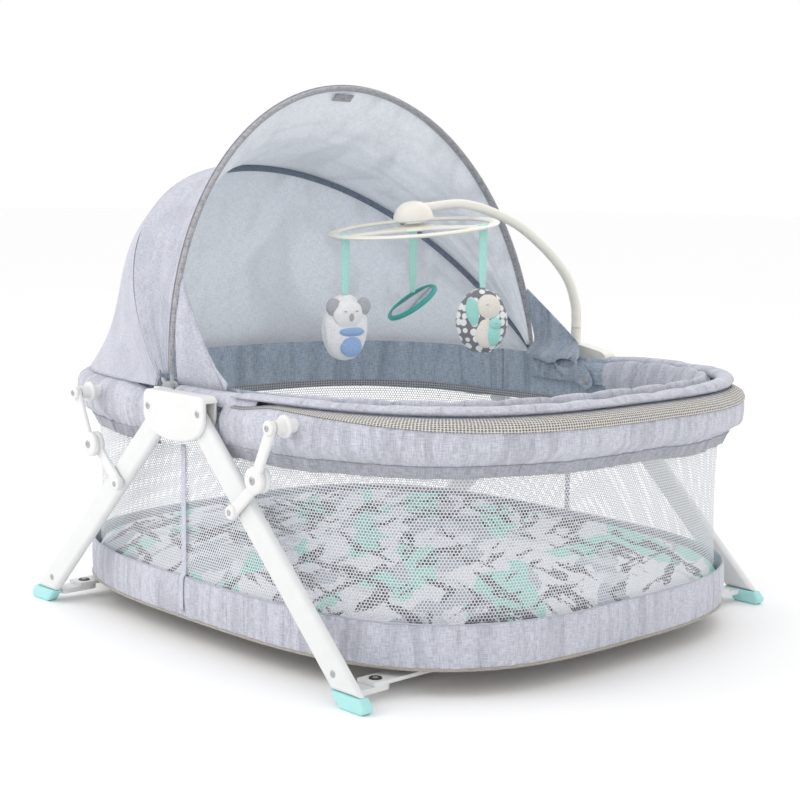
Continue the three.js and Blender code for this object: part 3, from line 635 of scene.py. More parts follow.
def make_rim_cover(end):
    turn, half_angle, length = end_sweep(end, COVER_START)

    def place(u, v):
        point, out = oval(RIM_A, RIM_B, RIM_POWER, turn + half_angle * (2 * u - 1))
        d, z = spline(cover_section(point.x), v)
        s = u * length
        d += gathers(s, v) + tuck(point, out, v)
        return point + out * d + Vector((0, 0, z + hem_wave(s, v)))

    obj = surface(f"rim_sleeve_{end}", place, 560, 44, (length, 0.13), HEATHER, flip=True)
    thicken(obj, 1.2 * MM, -1)
    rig.sheet(obj, flat=(length, 0.13), held="stretched", rests_on=[f"rim_tube_{end}"])
    return ready(obj, "frame", "heather_fabric", f"rim_cover_{end}")


# %% [markdown]
# A hem binding, a spacer-net strip and its dark edge are narrow bands that lie on the sleeve. They share
# one function: each follows the sleeve's section between two values of V, a little further out.


# %% Bands on the rim
def rim_band(name, end, v0, v1, lift, finish, x_from=COVER_START, thick=1.0, rows=6, taper=None):
    turn, half_angle, length = end_sweep(end, x_from)
    _, cover_angle, cover_length = end_sweep(end, COVER_START)

    def place(u, v):
        angle = half_angle * (2 * u - 1)
        point, out = oval(RIM_A, RIM_B, RIM_POWER, turn + angle)
        full = 1 if taper is None else 0.16 + 0.84 * smoothstep(*taper, point.x)
        t = v0 + (v1 - v0) * v * full
        d, z = spline(cover_section(point.x), t)
        s = (angle / cover_angle + 1) / 2 * cover_length
        d += lift * MM + gathers(s, t) + tuck(point, out, t)
        return point + out * d + Vector((0, 0, z + hem_wave(s, t)))

    obj = surface(name, place, 480, rows, (length, (v1 - v0) * 0.13), finish, flip=True)
    thicken(obj, thick * MM, 1)
    return ready(obj, "frame", "heather_fabric")


for end, _ in ENDS:
    make_rim_cover(end)
    rim_band(f"hem_binding_{end}", end, 0.90, 1.0, 0.4, HEM, thick=0.8)
rim_band("spacer_strip", "foot", 0.46, 0.62, 0.5, STRIP, x_from=72 * MM, rows=12, taper=(0.06, 0.42))
rim_band("strip_edge", "foot", 0.445, 0.465, 0.9, NAVY_BINDING, x_from=75 * MM, thick=1.2, rows=3)

# %% [markdown]
# ## The rim roll
#
# On top of the rim lies a padded roll, plump at the foot end and pressed flat beside the hubs. It is a
# closed tube with creases that cross it where the filling is caught. A voxel remesh and a cloth
# simulation could fill it, but it is held down along its whole length, so the creases are modelled.

# %% Rim roll
pad_low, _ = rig.box("rim_pad")


def make_roll():
    _, half_angle, length = end_sweep("foot", 72 * MM)

    def place(u, v):
        point, out = oval(RIM_A, RIM_B, RIM_POWER, half_angle * (2 * u - 1))
        s = u * length
        ends = math.sin(math.pi * min(max(u, 0.002), 0.998)) ** 0.15
        around = 2 * math.pi * v
        crease = max(0, noise.noise(Vector((s / 0.045, 2.2, 3.1 + 0.8 * math.sin(around)))))
        crease += 0.5 * max(0, noise.noise(Vector((s / 0.021, 5.2, 1.5 * math.cos(around)))))
        plump = (5.2 - 1.8 * crease + 2.6 * smoothstep(0.5, 0.8, u)) * ends
        d = -5 + (10.5 - 1.5 * crease) * math.cos(around)
        z = pad_low.z + (plump + plump * math.sin(around)) * MM
        return point + out * d * MM + Vector((0, 0, z))

    obj = surface("rim_roll", place, 420, 28, (length, 0.07), HEATHER, close=True)
    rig.padded(obj, fill=0.7)
    return ready(obj, "frame", "heather_fabric", "rim_pad")


make_roll()

# %% [markdown]
# Beside each hub the roll stops, and a flat piece of cloth covers the rim between the lining and the
# hub's back. On the near side it is heather, and on the far side the lining cloth is folded over.


# %% Hub wraps
def make_hub_wrap(side, sy, finish):
    section = [(-30 * MM, 0.260), (-30.5 * MM, 0.281), (-25 * MM, 0.2885), (-12 * MM, 0.2905),
               (-3 * MM, 0.288), (1 * MM, 0.282), (1.5 * MM, 0.276)]
    length = 148 * MM

    def place(u, v):
        x = -38 * MM + length * u
        point, out = oval(RIM_A, RIM_B, RIM_POWER, math.atan2(sy * RIM_B, x))
        d, z = spline(section, v)
        crease = noise.noise(Vector((x / 0.014, 4 * v, 3 + sy)))
        return point + out * (d + 0.8 * MM * crease) + Vector((0, 0, z + 0.5 * MM * crease))

    obj = surface(f"hub_wrap_{side}", place, 70, 24, (length, 0.06), finish)
    thicken(obj, 1.0 * MM, 0)
    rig.sheet(obj, flat=(length, 0.062), held="stretched", rests_on=[f"hub_back_{side}"])
    return ready(obj, "frame", "heather_fabric")


make_hub_wrap("near", -1, HEATHER)
make_hub_wrap("far", 1, LINING)

# %% [markdown]
# At the foot end a soft cushion lines the tub below the roll. It is quilted by a few stitched lines, so
# it stands in puffs with sharp folds between them.


# %% Foot cushion
def make_foot_cushion():
    _, half_angle, length = end_sweep("foot", 95 * MM)
    stitch_pitch = 62 * MM

    def place(u, v):
        point, out = oval(RIM_A, RIM_B, RIM_POWER, half_angle * (2 * u - 1))
        s = u * length
        around = 2 * math.pi * v
        ends = math.sin(math.pi * min(max(u, 0.003), 0.997)) ** 0.12
        shift = 12 * MM * (math.sin(around) + noise.noise(Vector((s / 0.09, 1, 1))))
        puff = abs(math.sin(math.pi * (s + shift) / stitch_pitch)) ** 0.45
        small = noise.noise(Vector((s / 0.012, 3 * math.sin(around), 2.0)))
        thick = (3.5 + 6.0 * puff + 1.3 * small * puff) * ends
        tall = (25 + 3.0 * puff) * ends
        d = -34.5 + thick * math.cos(around) + 5 * max(0, math.sin(around))
        return point + out * d * MM + Vector((0, 0, 0.274 + tall * math.sin(around) * MM))

    obj = surface("foot_cushion", place, 700, 32, (length, 0.11), HEATHER, close=True)
    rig.padded(obj, fill=0.6)
    return ready(obj, "frame", "heather_fabric")


make_foot_cushion()

# %% [markdown]
# ## The inner lining
#
# Inside the rim hangs a blue-grey valance. It is gathered onto the rim and ends in a dotted trim, so its
# folds are deep at the top and even out at the trim.

# %% Lining
lining_low, lining_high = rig.box("inner_lining")
LINING_OUT = lining_high.x - RIM_A


def make_lining(name, z0, z1, out_by, depth, finish, rows, thick):
    def place(u, v):
        point, out = oval(RIM_A, RIM_B, RIM_POWER, 2 * math.pi * u)
        s = u * PERIMETER
        fold = noise.noise(Vector((point.x / 0.022, point.y / 0.022, 0.7 * v)))
        fine = noise.noise(Vector((point.x / 0.009, point.y / 0.009, 3 + v)))
        gather = depth * (0.25 + 0.75 * v) * (1.5 * fold + 0.5 * fine - 0.5)
        return point + out * (out_by + gather * MM) + Vector((0, 0, z0 + (z1 - z0) * v))

    obj = surface(name, place, 640, rows, (PERIMETER, z1 - z0), finish, close=True)
    return thicken(obj, thick * MM, 0)


valance = make_lining("valance", lining_low.z + 8 * MM, lining_high.z, LINING_OUT - 1.2 * MM, 3.4,
                      LINING, 22, 0.8)
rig.sheet(valance, flat=(PERIMETER, 0.06), held="gathered", rests_on=["rim_tube_head", "rim_tube_foot"])
ready(valance, "frame", "canopy_fabric", "inner_lining")
trim = make_lining("valance_trim", lining_low.z, lining_low.z + 9 * MM, LINING_OUT - 1.8 * MM, 0.4,
                   TRIM, 4, 1.2)
ready(trim, "frame", "canopy_fabric")

# %% [markdown]
# ## The net walls
#
# The walls are a hexagon net, and its holes are real. One hexagon with an inset hole and its neighbour
# are repeated by two Array modifiers into a flat strip, which is then laid round the oval, row by row.
# Four strips keep every piece under the triangle limit. The net hangs from the rim and ends at the band,
# so it blends between those two bodies and folds as the tub's floor comes up.

# %% Hexagon net
NET_PITCH = 3.7 * MM
NET_YARN = 0.30


def oval_table(a, b, power, steps=1440):
    """Points round an oval and the length travelled to each, to place things at an even spacing."""
    angles = np.linspace(0, 2 * math.pi, steps + 1)
    points = np.array([oval(a, b, power, t)[0][:2] for t in angles])
    lengths = np.concatenate([[0], np.cumsum(np.linalg.norm(np.diff(points, axis=0), axis=1))])
    return points, lengths


def hexagon_strip(name, columns, rows):
    bm = bmesh.new()
    radius = NET_PITCH / math.sqrt(3)
    for shift in ((0, 0), (NET_PITCH / 2, 1.5 * radius)):
        made = bmesh.ops.create_circle(bm, cap_ends=True, radius=radius, segments=6)
        bmesh.ops.translate(bm, verts=made["verts"], vec=(*shift, 0))
    ringed = bmesh.ops.inset_individual(bm, faces=bm.faces[:], thickness=NET_YARN * NET_PITCH / 2)
    holes = [f for f in bm.faces if f not in ringed["faces"]]
    bmesh.ops.delete(bm, geom=holes, context="FACES_ONLY")
    obj = add_object(name, bm, NET)
    for offset, count in (((NET_PITCH, 0, 0), columns), ((0, 3 * radius, 0), rows)):
        modifier = obj.modifiers.new("repeat", "ARRAY")
        modifier.use_relative_offset = False
        modifier.use_constant_offset = True
        modifier.constant_offset_displace = offset
        modifier.count = count
    return apply_modifiers(obj)


def make_net(quarters=4):
    points, lengths = oval_table(NET_A, NET_B, NET_POWER)
    height = net_high.z - net_low.z + 4 * MM
    side = lengths[-1] / quarters
    columns = round(side / NET_PITCH)
    rows = round(height / (math.sqrt(3) * NET_PITCH))
    stretch = side / (columns * NET_PITCH)
    for quarter in range(quarters):
        obj = hexagon_strip(f"net_{quarter + 1}", columns, rows)
        co = np.zeros(len(obj.data.vertices) * 3)
        obj.data.vertices.foreach_get("co", co)
        co = co.reshape(-1, 3)
        along = (co[:, 0] * stretch + quarter * side) % lengths[-1]
        up = (co[:, 1] - co[:, 1].min()) / (co[:, 1].max() - co[:, 1].min())
        x = np.interp(along, lengths, points[:, 0])
        y = np.interp(along, lengths, points[:, 1])
        slack = 1 - 0.006 * np.sin(math.pi * up)
        co = np.stack([x * slack, y * slack, net_low.z - 2 * MM + up * height], axis=1)
        obj.data.vertices.foreach_set("co", co.ravel())
        obj.data.update()
        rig.sheet(obj, flat=(side, height), held="stretched", rests_on=["base_band"],
                 area=sum(p.area for p in obj.data.polygons))
        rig.replaces(obj, "net_wall")
        ready(obj, "frame", "net", blend=NET_FOLD)
    print(f"net: {quarters} x {columns} x {2 * rows} holes")


make_net()

# %% [markdown]
# The net is joined by a flat tape on each long side, from the sleeve down to the band. It folds with it.


# %% Seam tapes
def make_tape(name, sy, x):
    low = net_low.z - 40 * MM * (sy < 0)

    def place(u, v):
        angle = math.atan2(sy * NET_B, x + (u - 0.5) * 8 * MM)
        point, out = oval(NET_A, NET_B, NET_POWER, angle)
        ridge = 0.5 * MM * abs(math.cos(2 * math.pi * u))
        height = low + (net_high.z + 3 * MM - low) * v
        bottom, _ = oval(BAND_A, BAND_B, RIM_POWER, angle)
        point = point.lerp(bottom, 1 - smoothstep(net_low.z - 3 * MM, net_low.z + 3 * MM, height))
        return point + out * (1.3 * MM + ridge) + Vector((0, 0, height))

    obj = surface(name, place, 8, 60, (8 * MM, 0.15), TAPE)
    thicken(obj, 0.8 * MM, 0)
    return ready(obj, "frame", "net", blend=NET_FOLD)


band_low, band_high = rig.box("base_band")
BAND_A, BAND_B = band_high.x, band_high.y
make_tape("seam_tape_near", -1, -20 * MM)
make_tape("seam_tape_far", 1, 4 * MM)

# %% [markdown]
# ## The lower band, its hem and the piping
#
# Below the net a heather band holds the floor. Its top edge is turned and stitched, and it is gathered
# towards the foot end. A thin taupe piping closes the corner with the floor.


# %% Lower band
def make_band():
    height = band_high.z - band_low.z

    def place(u, v):
        angle = 2 * math.pi * u
        point, out = oval(BAND_A, BAND_B, RIM_POWER, angle)
        near = max(0, math.cos(angle + 0.9)) ** 2
        gather = (0.8 + 2.4 * near) * math.sin(math.pi * v) ** 0.4
        wave = noise.noise(Vector((point.x / 0.013, point.y / 0.013, 0.5 * v)))
        wide = noise.noise(Vector((point.x / 0.06, point.y / 0.06, 2 + v)))
        d = (-2 + 1.6 * math.sin(math.pi * v) + gather * wave * 1.3 + 1.2 * wide * v) * MM
        lift = 1.2 * MM * noise.noise(Vector((point.x / 0.1, point.y / 0.1, 8))) * v
        return point + out * d + Vector((0, 0, band_low.z + 1 * MM + (height - 1 * MM) * v + lift))

    obj = surface("lower_band", place, 640, 20, (PERIMETER, height), HEATHER, close=True)
    thicken(obj, 1.4 * MM, 0)
    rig.sheet(obj, flat=(PERIMETER, 0.052), held="stretched", rests_on=["base_panel"])
    return ready(obj, "tub_floor", "heather_fabric", "base_band")


def ring_cord(name, inset, z, radius, finish):
    def place(u, v):
        point, out = oval(BAND_A - inset, BAND_B - inset, RIM_POWER, 2 * math.pi * u)
        turn = 2 * math.pi * v
        return point + out * radius * math.cos(turn) + Vector((0, 0, z + radius * math.sin(turn)))

    obj = surface(name, place, 360, 10, (PERIMETER, 2 * math.pi * radius), finish, close=True)
    return ready(obj, "tub_floor", "heather_fabric")


make_band()
ring_cord("piping", 1.2 * MM, band_low.z + 1.8 * MM, 1.8 * MM, TAUPE)
ring_cord("band_edge", 1.6 * MM, band_high.z - 0.4 * MM, 1.0 * MM, THREAD)

# %% [markdown]
# ## The floor under the mattress
#
# The floor cloth and its two boards keep their frame shapes. They only need the right finish, and the
# boards show when the tub is turned over or folded.

# %% Floor finishes
dress(TAUPE, "base_panel")
dress(BOARD, "floor_board_foot", "floor_board_head")
print("floor finishes: 3 pieces")

# %% [markdown]
# ## The printed mattress
#
# The pad's cover is printed with loose brush strokes in mint, two greys and charcoal on white. Each
# colour is a stretched noise on Object coordinates, cut off at a level so that only its peaks print. The
# charcoal has two of them that cross, and a finer noise breaks its strokes up as a dry brush does.


# %% Mattress finish
def make_print():
    made = Finish("brush-stroke print", (0.86, 0.88, 0.92), 0.9, sheen_weight=0.2)
    ground = (0.80, 0.82, 0.87)

    def strokes(offset, scale, low, high, turn):
        where = made.node("ShaderNodeTexCoord").outputs["Object"]
        mapped = made.node("ShaderNodeMapping", {
            "Vector": where, "Location": offset, "Rotation": (0, 0, turn), "Scale": (*scale, 0.1),
        }, vector_type="TEXTURE").outputs[0]
        field = made.node("ShaderNodeTexNoise", {"Vector": mapped, "Scale": 1.0, "Detail": 3.0,
                                                 "Roughness": 0.5, "Distortion": 0.3}).outputs["Fac"]
        return made.ramp(field, low, high)

    color = made.mix(strokes((3, 1, 0), (0.045, 0.15), 0.54, 0.555, 0.55), ground, (0.42, 0.46, 0.52))
    color = made.mix(strokes((9, 2, 0), (0.05, 0.13), 0.59, 0.605, 1.1), color, (0.62, 0.66, 0.70))
    color = made.mix(strokes((7, 5, 0), (0.062, 0.20), 0.545, 0.56, 0.82), color, (0.30, 0.70, 0.61))
    dry = made.noise("Object", (170, 170, 60), detail=2)
    slants = made.math("MAXIMUM", strokes((1, 9, 0), (0.023, 0.12), 0.575, 0.595, 0.47),
                       strokes((5, 3, 0), (0.023, 0.12), 0.575, 0.595, 1.17))
    dark = made.math("MULTIPLY", slants, made.ramp(dry, 0.36, 0.44))
    color = made.mix(dark, color, (0.06, 0.06, 0.08))
    made.color(color)
    weave = made.math("ADD", made.noise("UV", (1300, 140, 1)), made.noise("UV", (140, 1300, 1)))
    made.bump(weave, 0.2 * MM, 0.6)
    return made


PRINT = make_print()
mat_low, mat_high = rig.box("mattress")


def make_mattress():
    """A crowned pad: U runs round it, and V from the middle of its bottom to the middle of its top."""
    a, b = mat_high.x, mat_high.y
    height = mat_high.z - mat_low.z
    side = [(0.0, 0.0), (0.55, 0.0), (0.93, 0.02), (0.985, 0.20), (1.0, 0.45), (0.985, 0.72),
            (0.95, 0.86), (0.86, 0.95), (0.5, 1.0), (0.0, 1.0)]

    def place(u, v):
        angle = 2 * math.pi * u
        r, h = spline(side, v)
        r = max(r, 0)
        edge, _ = oval(a * r + 1e-6, b * r + 1e-6, RIM_POWER, angle)
        z = mat_low.z + height * h
        if v > 0.5:
            fold = math.exp(-((edge.x / 0.013) ** 2))
            z -= 6.5 * MM * fold * smoothstep(0.2, 1.0, h)
            z += 2.4 * MM * noise.noise(Vector((edge.x / 0.09, edge.y / 0.09, 0.5))) * (1 - 0.5 * r)
            z += 1.0 * MM * noise.noise(Vector((edge.x / 0.03, edge.y / 0.03, 1.5)))
            z = min(z, mat_high.z + 2 * MM)
        return Vector((edge.x, edge.y, z))

    obj = surface("mattress_pad", place, 200, 90, (2.2, 0.8), PRINT, close=True)
    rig.padded(obj, fill=0.6)
    return ready(obj, "tub_floor", "mattress_print", "mattress")


make_mattress()

# %% [markdown]
# ## The canopy
#
# Two bows carry the canopy. `bow_point` gives a point on a bow from its angle, and the panels are drawn
# between the bows in the same terms, so cloth and bow always meet. The outer face is heather and the
# inside a plain blue-grey, so each panel is two layers: an outer skin and a lining just inside it.

# %% Canopy geometry
front_low, front_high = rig.box("bow_front")
_, mid_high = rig.box("bow_middle")
EYE_R = 10 * MM
AXIS_Z = front_low.z + EYE_R
AXIS_X = front_high.x - EYE_R
ROD_R = 2.5 * MM
FRONT_LEAN = math.radians(6.8)
MID_LEAN = math.radians(43.2)
PIVOT = Vector((AXIS_X, 0, AXIS_Z))
FRONT_BOW = ((front_high.z - AXIS_Z - ROD_R) / math.cos(FRONT_LEAN),
             front_high.y - ROD_R - 2.7 * MM, FRONT_LEAN)
MID_BOW = ((mid_high.z - AXIS_Z - ROD_R) / math.cos(MID_LEAN), mid_high.y - ROD_R, MID_LEAN)


def bow_point(bow, angle, offset=0.0):
    height, half, lean = bow
    rise = (height + offset) * math.sin(angle)
    return Vector((AXIS_X - rise * math.sin(lean), -(half + offset) * math.cos(angle),
                   AXIS_Z + rise * math.cos(lean)))


def bow_binding(name, bow, width, depth, sunk, finish, body):
    """A sleeve of woven tape round a bow. Its section is an oval, which thins to a cord at the bow's ends."""
    across = Vector((math.cos(bow[2]), 0, math.sin(bow[2])))

    def place(u, v):
        angle = 0.05 + (math.pi - 0.1) * u
        full = smoothstep(0.06, 0.30, math.sin(angle))
        point = bow_point(bow, angle, -sunk * full)
        ahead = (bow_point(bow, angle + 0.01) - bow_point(bow, angle - 0.01)).normalized()
        out = across.cross(ahead).normalized()
        if out.dot(point - PIVOT) < 0:
            out = -out
        turn = 2 * math.pi * v
        w = 2.9 * MM + (width - 2.9 * MM) * full * (1 + 0.04 * ripple(u * 1.1, 5, 0.03))
        d = 2.8 * MM + (depth - 2.8 * MM) * full
        return point + out * (d * math.cos(turn)) + across * (w * math.sin(turn))

    obj = surface(name, place, 300, 16, (1.1, 0.03), finish, close=True)
    return ready(obj, body, "bow_binding")


bow_binding("front_bow_sleeve", FRONT_BOW, 6.0 * MM, 3.4 * MM, 0, BINDING, "canopy_front")
bow_binding("middle_bow_sleeve", MID_BOW, 3.4 * MM, 5.0 * MM, 2.6 * MM, NAVY_BINDING, "canopy_middle")

# %% [markdown]
# ### Canopy panels
#
# The cloth between the bows is stretched along them and slack across, so it sags a little in the middle
# and wrinkles in long, soft, slanting folds. Noise that is stretched along the folds gives them. The rear
# panel runs from the middle bow down to the rim at the head end.


# %% Canopy panels
def front_panel_point(u, v, offset):
    angle = math.radians(3.5 + 173 * u)
    cross = math.sin(math.pi * v)
    bow = tuple(FRONT_BOW[i] + (MID_BOW[i] - FRONT_BOW[i]) * v for i in range(3))
    around = bow_point(bow, angle, offset)
    sag = 27 * MM * cross * math.sin(angle) ** 0.5
    point = bow_point(FRONT_BOW, angle, offset).lerp(bow_point(MID_BOW, angle, offset), v)
    out = (around - PIVOT).normalized()
    slanted = Vector((4.2 * u + 1.3 * v, 7.5 * v - 2.2 * u, 0.7))
    wrinkle = 3.4 * noise.noise(slanted * 1.3) + 2.4 * noise.noise(slanted * 3.1)
    return point + out * (wrinkle * cross ** 0.6 * MM - sag)


def rear_panel_point(u, v, offset):
    angle = math.radians(3 + 174 * u)
    high = bow_point((MID_BOW[0], MID_BOW[1], MID_BOW[2] + 0.01), angle, offset)
    polar = math.pi + rim_angle(72 * MM) * math.cos(angle)
    point, out = oval(RIM_A, RIM_B, RIM_POWER, polar)
    low = point + out * (offset - 2 * MM) + Vector((0, 0, ROLL_Z + 1 * MM))
    bulge = (6 * math.sin(math.pi * v) + 13 * math.sin(2 * math.pi * v)) * MM * math.sin(angle)
    folds = noise.noise(Vector((9 * u, 1.2 * v, 4.0))) + 0.5 * noise.noise(Vector((22 * u, 2 * v, 6.0)))
    bulge += 4.5 * MM * folds * math.sin(math.pi * min(v + 0.06, 1)) ** 0.7
    return high.lerp(low, v) + Vector((-bulge, 0, bulge * 0.4))


def canopy_layer(name, point, offset, finish, size):
    obj = surface(name, lambda u, v: point(u, v, offset), 170, 44, size, finish)
    return thicken(obj, 0.6 * MM, 0)


def fold_line(lean, reach):
    """Two points either side of a half-plane that leans back from the bows' pivot, to blend across."""
    across = Vector((math.cos(lean), 0, math.sin(lean)))
    return PIVOT - across * reach, PIVOT + across * reach


LAYERS = (("outer", 4.6 * MM, HEATHER_FLAT, "heather_fabric"),
          ("lining", 3.0 * MM, CANOPY_IN_PAINTED_GLOW, "canopy_fabric"))
FRONT_FOLD = ("canopy_front", *fold_line((FRONT_LEAN + MID_LEAN) / 2, 0.05))
REAR_FOLD = ("canopy_middle", *fold_line(math.radians(66.6), 0.06))
PANELS = (("front", front_panel_point, (1.1, 0.23), "canopy_middle", FRONT_FOLD,
           dict(flat=(1.08, 0.235), rests_on=["bow_front", "bow_middle"], area=0.155)),
          ("rear", rear_panel_point, (1.1, 0.26), "frame", REAR_FOLD,
           dict(flat=(1.1, 0.38), rests_on=["bow_middle", "rim_tube_head"], area=0.188)))
for panel, point, size, body, fold, cloth_facts in PANELS:
    for layer, offset, finish, slot in LAYERS:
        obj = canopy_layer(f"{panel}_panel_{layer}", point, offset, finish, size)
        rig.sheet(obj, held="stretched", **cloth_facts)
        ready(obj, body, slot, f"canopy_{panel}_panel", blend=fold)

# %% [markdown]
# ### Canopy wings
#
# From each end of the front bow a flap of cloth reaches forward to the hub. The far one shows its inner
# side, with a slot like a button-hole and a snap. A flap is a flat outline that is filled, subdivided and
# bent a little. As the canopy folds back, the flaps gather towards the bow.


# %% Wings
def arc(x, z, radius, start, end, count=14):
    return [(x + radius * math.cos(start + (end - start) * i / count),
             z + radius * math.sin(start + (end - start) * i / count)) for i in range(count + 1)]


def flap(name, points, y, finish, wave=1.0 * MM, thick=1.2 * MM, drop=0.0, slot=None):
    bm = bmesh.new()
    layer = bm.loops.layers.uv.new("UVMap")
    face = bm.faces.new([bm.verts.new((x, y, z)) for x, z in points])
    bmesh.ops.triangulate(bm, faces=[face])
    bmesh.ops.subdivide_edges(bm, edges=bm.edges[:], cuts=9, use_grid_fill=True)
    if slot:
        x, z, a, b = slot
        inside = [f for f in bm.faces if ((f.calc_center_median().x - x) / a) ** 2
                  + ((f.calc_center_median().z - z) / b) ** 2 < 1]
        bmesh.ops.delete(bm, geom=inside, context="FACES")
        for vert in bm.verts:
            off = Vector(((vert.co.x - x) / a, (vert.co.z - z) / b))
            if vert.is_boundary and off.length < 1.9:
                vert.co.x, vert.co.z = x + a * off.x / off.length, z + b * off.y / off.length
    for vert in bm.verts:
        rise = max(vert.co.z - AXIS_Z, 0)
        lean_in = 1 - math.sqrt(max(1 - (rise / FRONT_BOW[0]) ** 2, 0))
        vert.co.y -= math.copysign(lean_in * FRONT_BOW[1], y)
        vert.co.y += math.copysign(wave * noise.noise(vert.co * 25), y)
        vert.co.y -= math.copysign(drop * (1 - smoothstep(0.288, 0.312, vert.co.z)), y)
    for f in bm.faces:
        for loop in f.loops:
            loop[layer].uv = (loop.vert.co.x, loop.vert.co.z)
    return thicken(add_object(name, bm, finish), thick, 0)


def curve_points(start, control, end, count=8):
    a, b, c = Vector(start), Vector(control), Vector(end)
    return [tuple(a * (1 - t) ** 2 + b * 2 * t * (1 - t) + c * t * t)
            for t in (i / count for i in range(count + 1))]


wing_y = FRONT_BOW[1] - 1 * MM
gather_wing = dict(axis=(math.cos(FRONT_LEAN), 0, math.sin(FRONT_LEAN)), anchor=(AXIS_X, 0, AXIS_Z),
                   keep=0.08)
near_edge = curve_points((0.046, 0.300), (0.006, 0.322), (-0.062, 0.410))
near_outline = [(-0.046, 0.292), (0.043, 0.292)] + near_edge + [(-0.0685, 0.400)]
near_wing = flap("wing_near", near_outline, -wing_y, HEATHER_FLAT)
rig.sheet(near_wing, flat=(0.13, 0.12), area=0.0085, held="stretched", rests_on=["bow_front"])
ready(near_wing, "canopy_front", "heather_fabric", "canopy_wing_near")
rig.squash(near_wing, "canopy_fold", **gather_wing)
far_tip = arc(0.066, 0.263, 0.010, -2.2, 0.9, 8)
far_edge = curve_points((0.069, 0.276), (0.020, 0.318), (-0.058, 0.380))
far_outline = [(-0.046, 0.292), (-0.010, 0.284), (0.030, 0.266)] + far_tip + far_edge + [(-0.064, 0.368)]
far_wing = flap("wing_far", far_outline, wing_y, LINING, drop=26 * MM, slot=(0.026, 0.285, 0.017, 0.0058))
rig.sheet(far_wing, flat=(0.12, 0.11), area=0.0065, held="stretched", rests_on=["bow_front"])
ready(far_wing, "canopy_front", "canopy_fabric", "canopy_wing_far")
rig.squash(far_wing, "canopy_fold", **gather_wing)

# %% [markdown]
# ## Flat moulded plates
#
# Legs, feet, links and hub covers are all plates that stand in the XZ plane. `plate` fills an outline,
# extrudes it along Y and bevels the long edges, which is how a moulding or a drawn tube would be rounded.


# %% Plate helper
def plate(name, points, y0, y1, finish, bevel=1.5 * MM, segments=4):
    bm = bmesh.new()
    face = bm.faces.new([bm.verts.new((x, y0, z)) for x, z in points])
    out = bmesh.ops.extrude_face_region(bm, geom=[face])
    moved = [g for g in out["geom"] if isinstance(g, bmesh.types.BMVert)]
    bmesh.ops.translate(bm, verts=moved, vec=(0, y1 - y0, 0))
    bmesh.ops.recalc_face_normals(bm, faces=bm.faces)
    rims = [e for e in bm.edges if abs(e.verts[0].co.y - e.verts[1].co.y) < 1e-7]
    bmesh.ops.bevel(bm, geom=rims, offset=bevel, affect="EDGES", segments=segments, profile=0.5,
                    material=-1, clamp_overlap=True)
    obj = add_object(name, bm, finish)
    obj.data.set_sharp_from_angle(angle=math.radians(40))
    return obj


def turned(name, profile, centre, axis, finish, segments=40):
    """A turned piece: radius and height pairs, spun about an axis through a centre."""
    bm = bmesh.new()
    verts = [bm.verts.new((r, 0, h)) for r, h in profile]
    edges = [bm.edges.new(pair) for pair in zip(verts, verts[1:])]
    bmesh.ops.spin(bm, geom=verts + edges, cent=(0, 0, 0), axis=(0, 0, 1), angle=2 * math.pi,
                   steps=segments, use_merge=True)
    bmesh.ops.remove_doubles(bm, verts=bm.verts, dist=0.001 * MM)
    bmesh.ops.recalc_face_normals(bm, faces=bm.faces)
    turn = Vector((0, 0, 1)).rotation_difference(Vector(axis)).to_matrix().to_4x4()
    bmesh.ops.transform(bm, matrix=Matrix.Translation(centre) @ turn, verts=bm.verts)
    obj = add_object(name, bm, finish)
    obj.data.set_sharp_from_angle(angle=math.radians(50))
    return obj


# %% [markdown]
# ## The legs and their feet
#
# A leg is a flat oval tube. Its outline follows the frame's: a round top on the hinge, straight sides and
# a level cut at the foot cap. The cap is a softer, slightly wider moulding with a flat sole.

# %% Legs
leg_low, leg_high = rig.box("leg_foot_far")
HINGE = (24 * MM, 270.48 * MM)
REACH, APEX = 300 * MM, 294 * MM
LEG_HALF = 15 * MM
SLOPE = math.atan2(APEX, REACH)
FOOT_TOP = leg_low.z - 8 * MM


def leg_outline(sx):
    spread = LEG_HALF / math.sin(SLOPE)
    centre = REACH * (1 - FOOT_TOP / APEX)
    points = arc(*HINGE, LEG_HALF, -SLOPE + math.pi / 2, -SLOPE + 1.5 * math.pi)
    points += [(centre - spread, FOOT_TOP), (centre + spread, FOOT_TOP)]
    return [(sx * x, z) for x, z in points]


def foot_outline(sx):
    spread = LEG_HALF / math.sin(SLOPE) + 1 * MM
    top = FOOT_TOP - 0.3 * MM
    middle = REACH * (1 - top / APEX)
    points = [(middle - spread, top), (0.2735, 0.0035), (0.278, 0), (0.309, 0), (0.3135, 0.003),
              (0.314, 0.0075), (middle + spread, top)]
    return [(sx * x, z) for x, z in points]


def side_span(inner, outer, sy):
    return (inner, outer) if sy > 0 else (-outer, -inner)


LEG_Y = (leg_low.y, leg_high.y)
for end, sx in ENDS:
    for side, sy in SIDES:
        body = f"{end}_legs"
        leg = plate(f"oval_leg_{end}_{side}", leg_outline(sx), *side_span(*LEG_Y, sy), COATED, 5.2 * MM, 6)
        ready(leg, body, "white_metal", f"leg_{end}_{side}")
        sole = side_span(LEG_Y[0] - 1.5 * MM, LEG_Y[1] + 1.5 * MM, sy)
        cap = plate(f"foot_{end}_{side}", foot_outline(sx), *sole, MINT, 3.2 * MM, 5)
        ready(cap, body, "mint_rubber", f"foot_cap_{end}_{side}")

# %% [markdown]
# ## Screws
#
# One screw is enough for the whole bassinet: a low dome with a round recess, spun and then placed on the
# hubs, the leg bottoms, the pivots and the cross bars. Those on the bars have a dark washer.


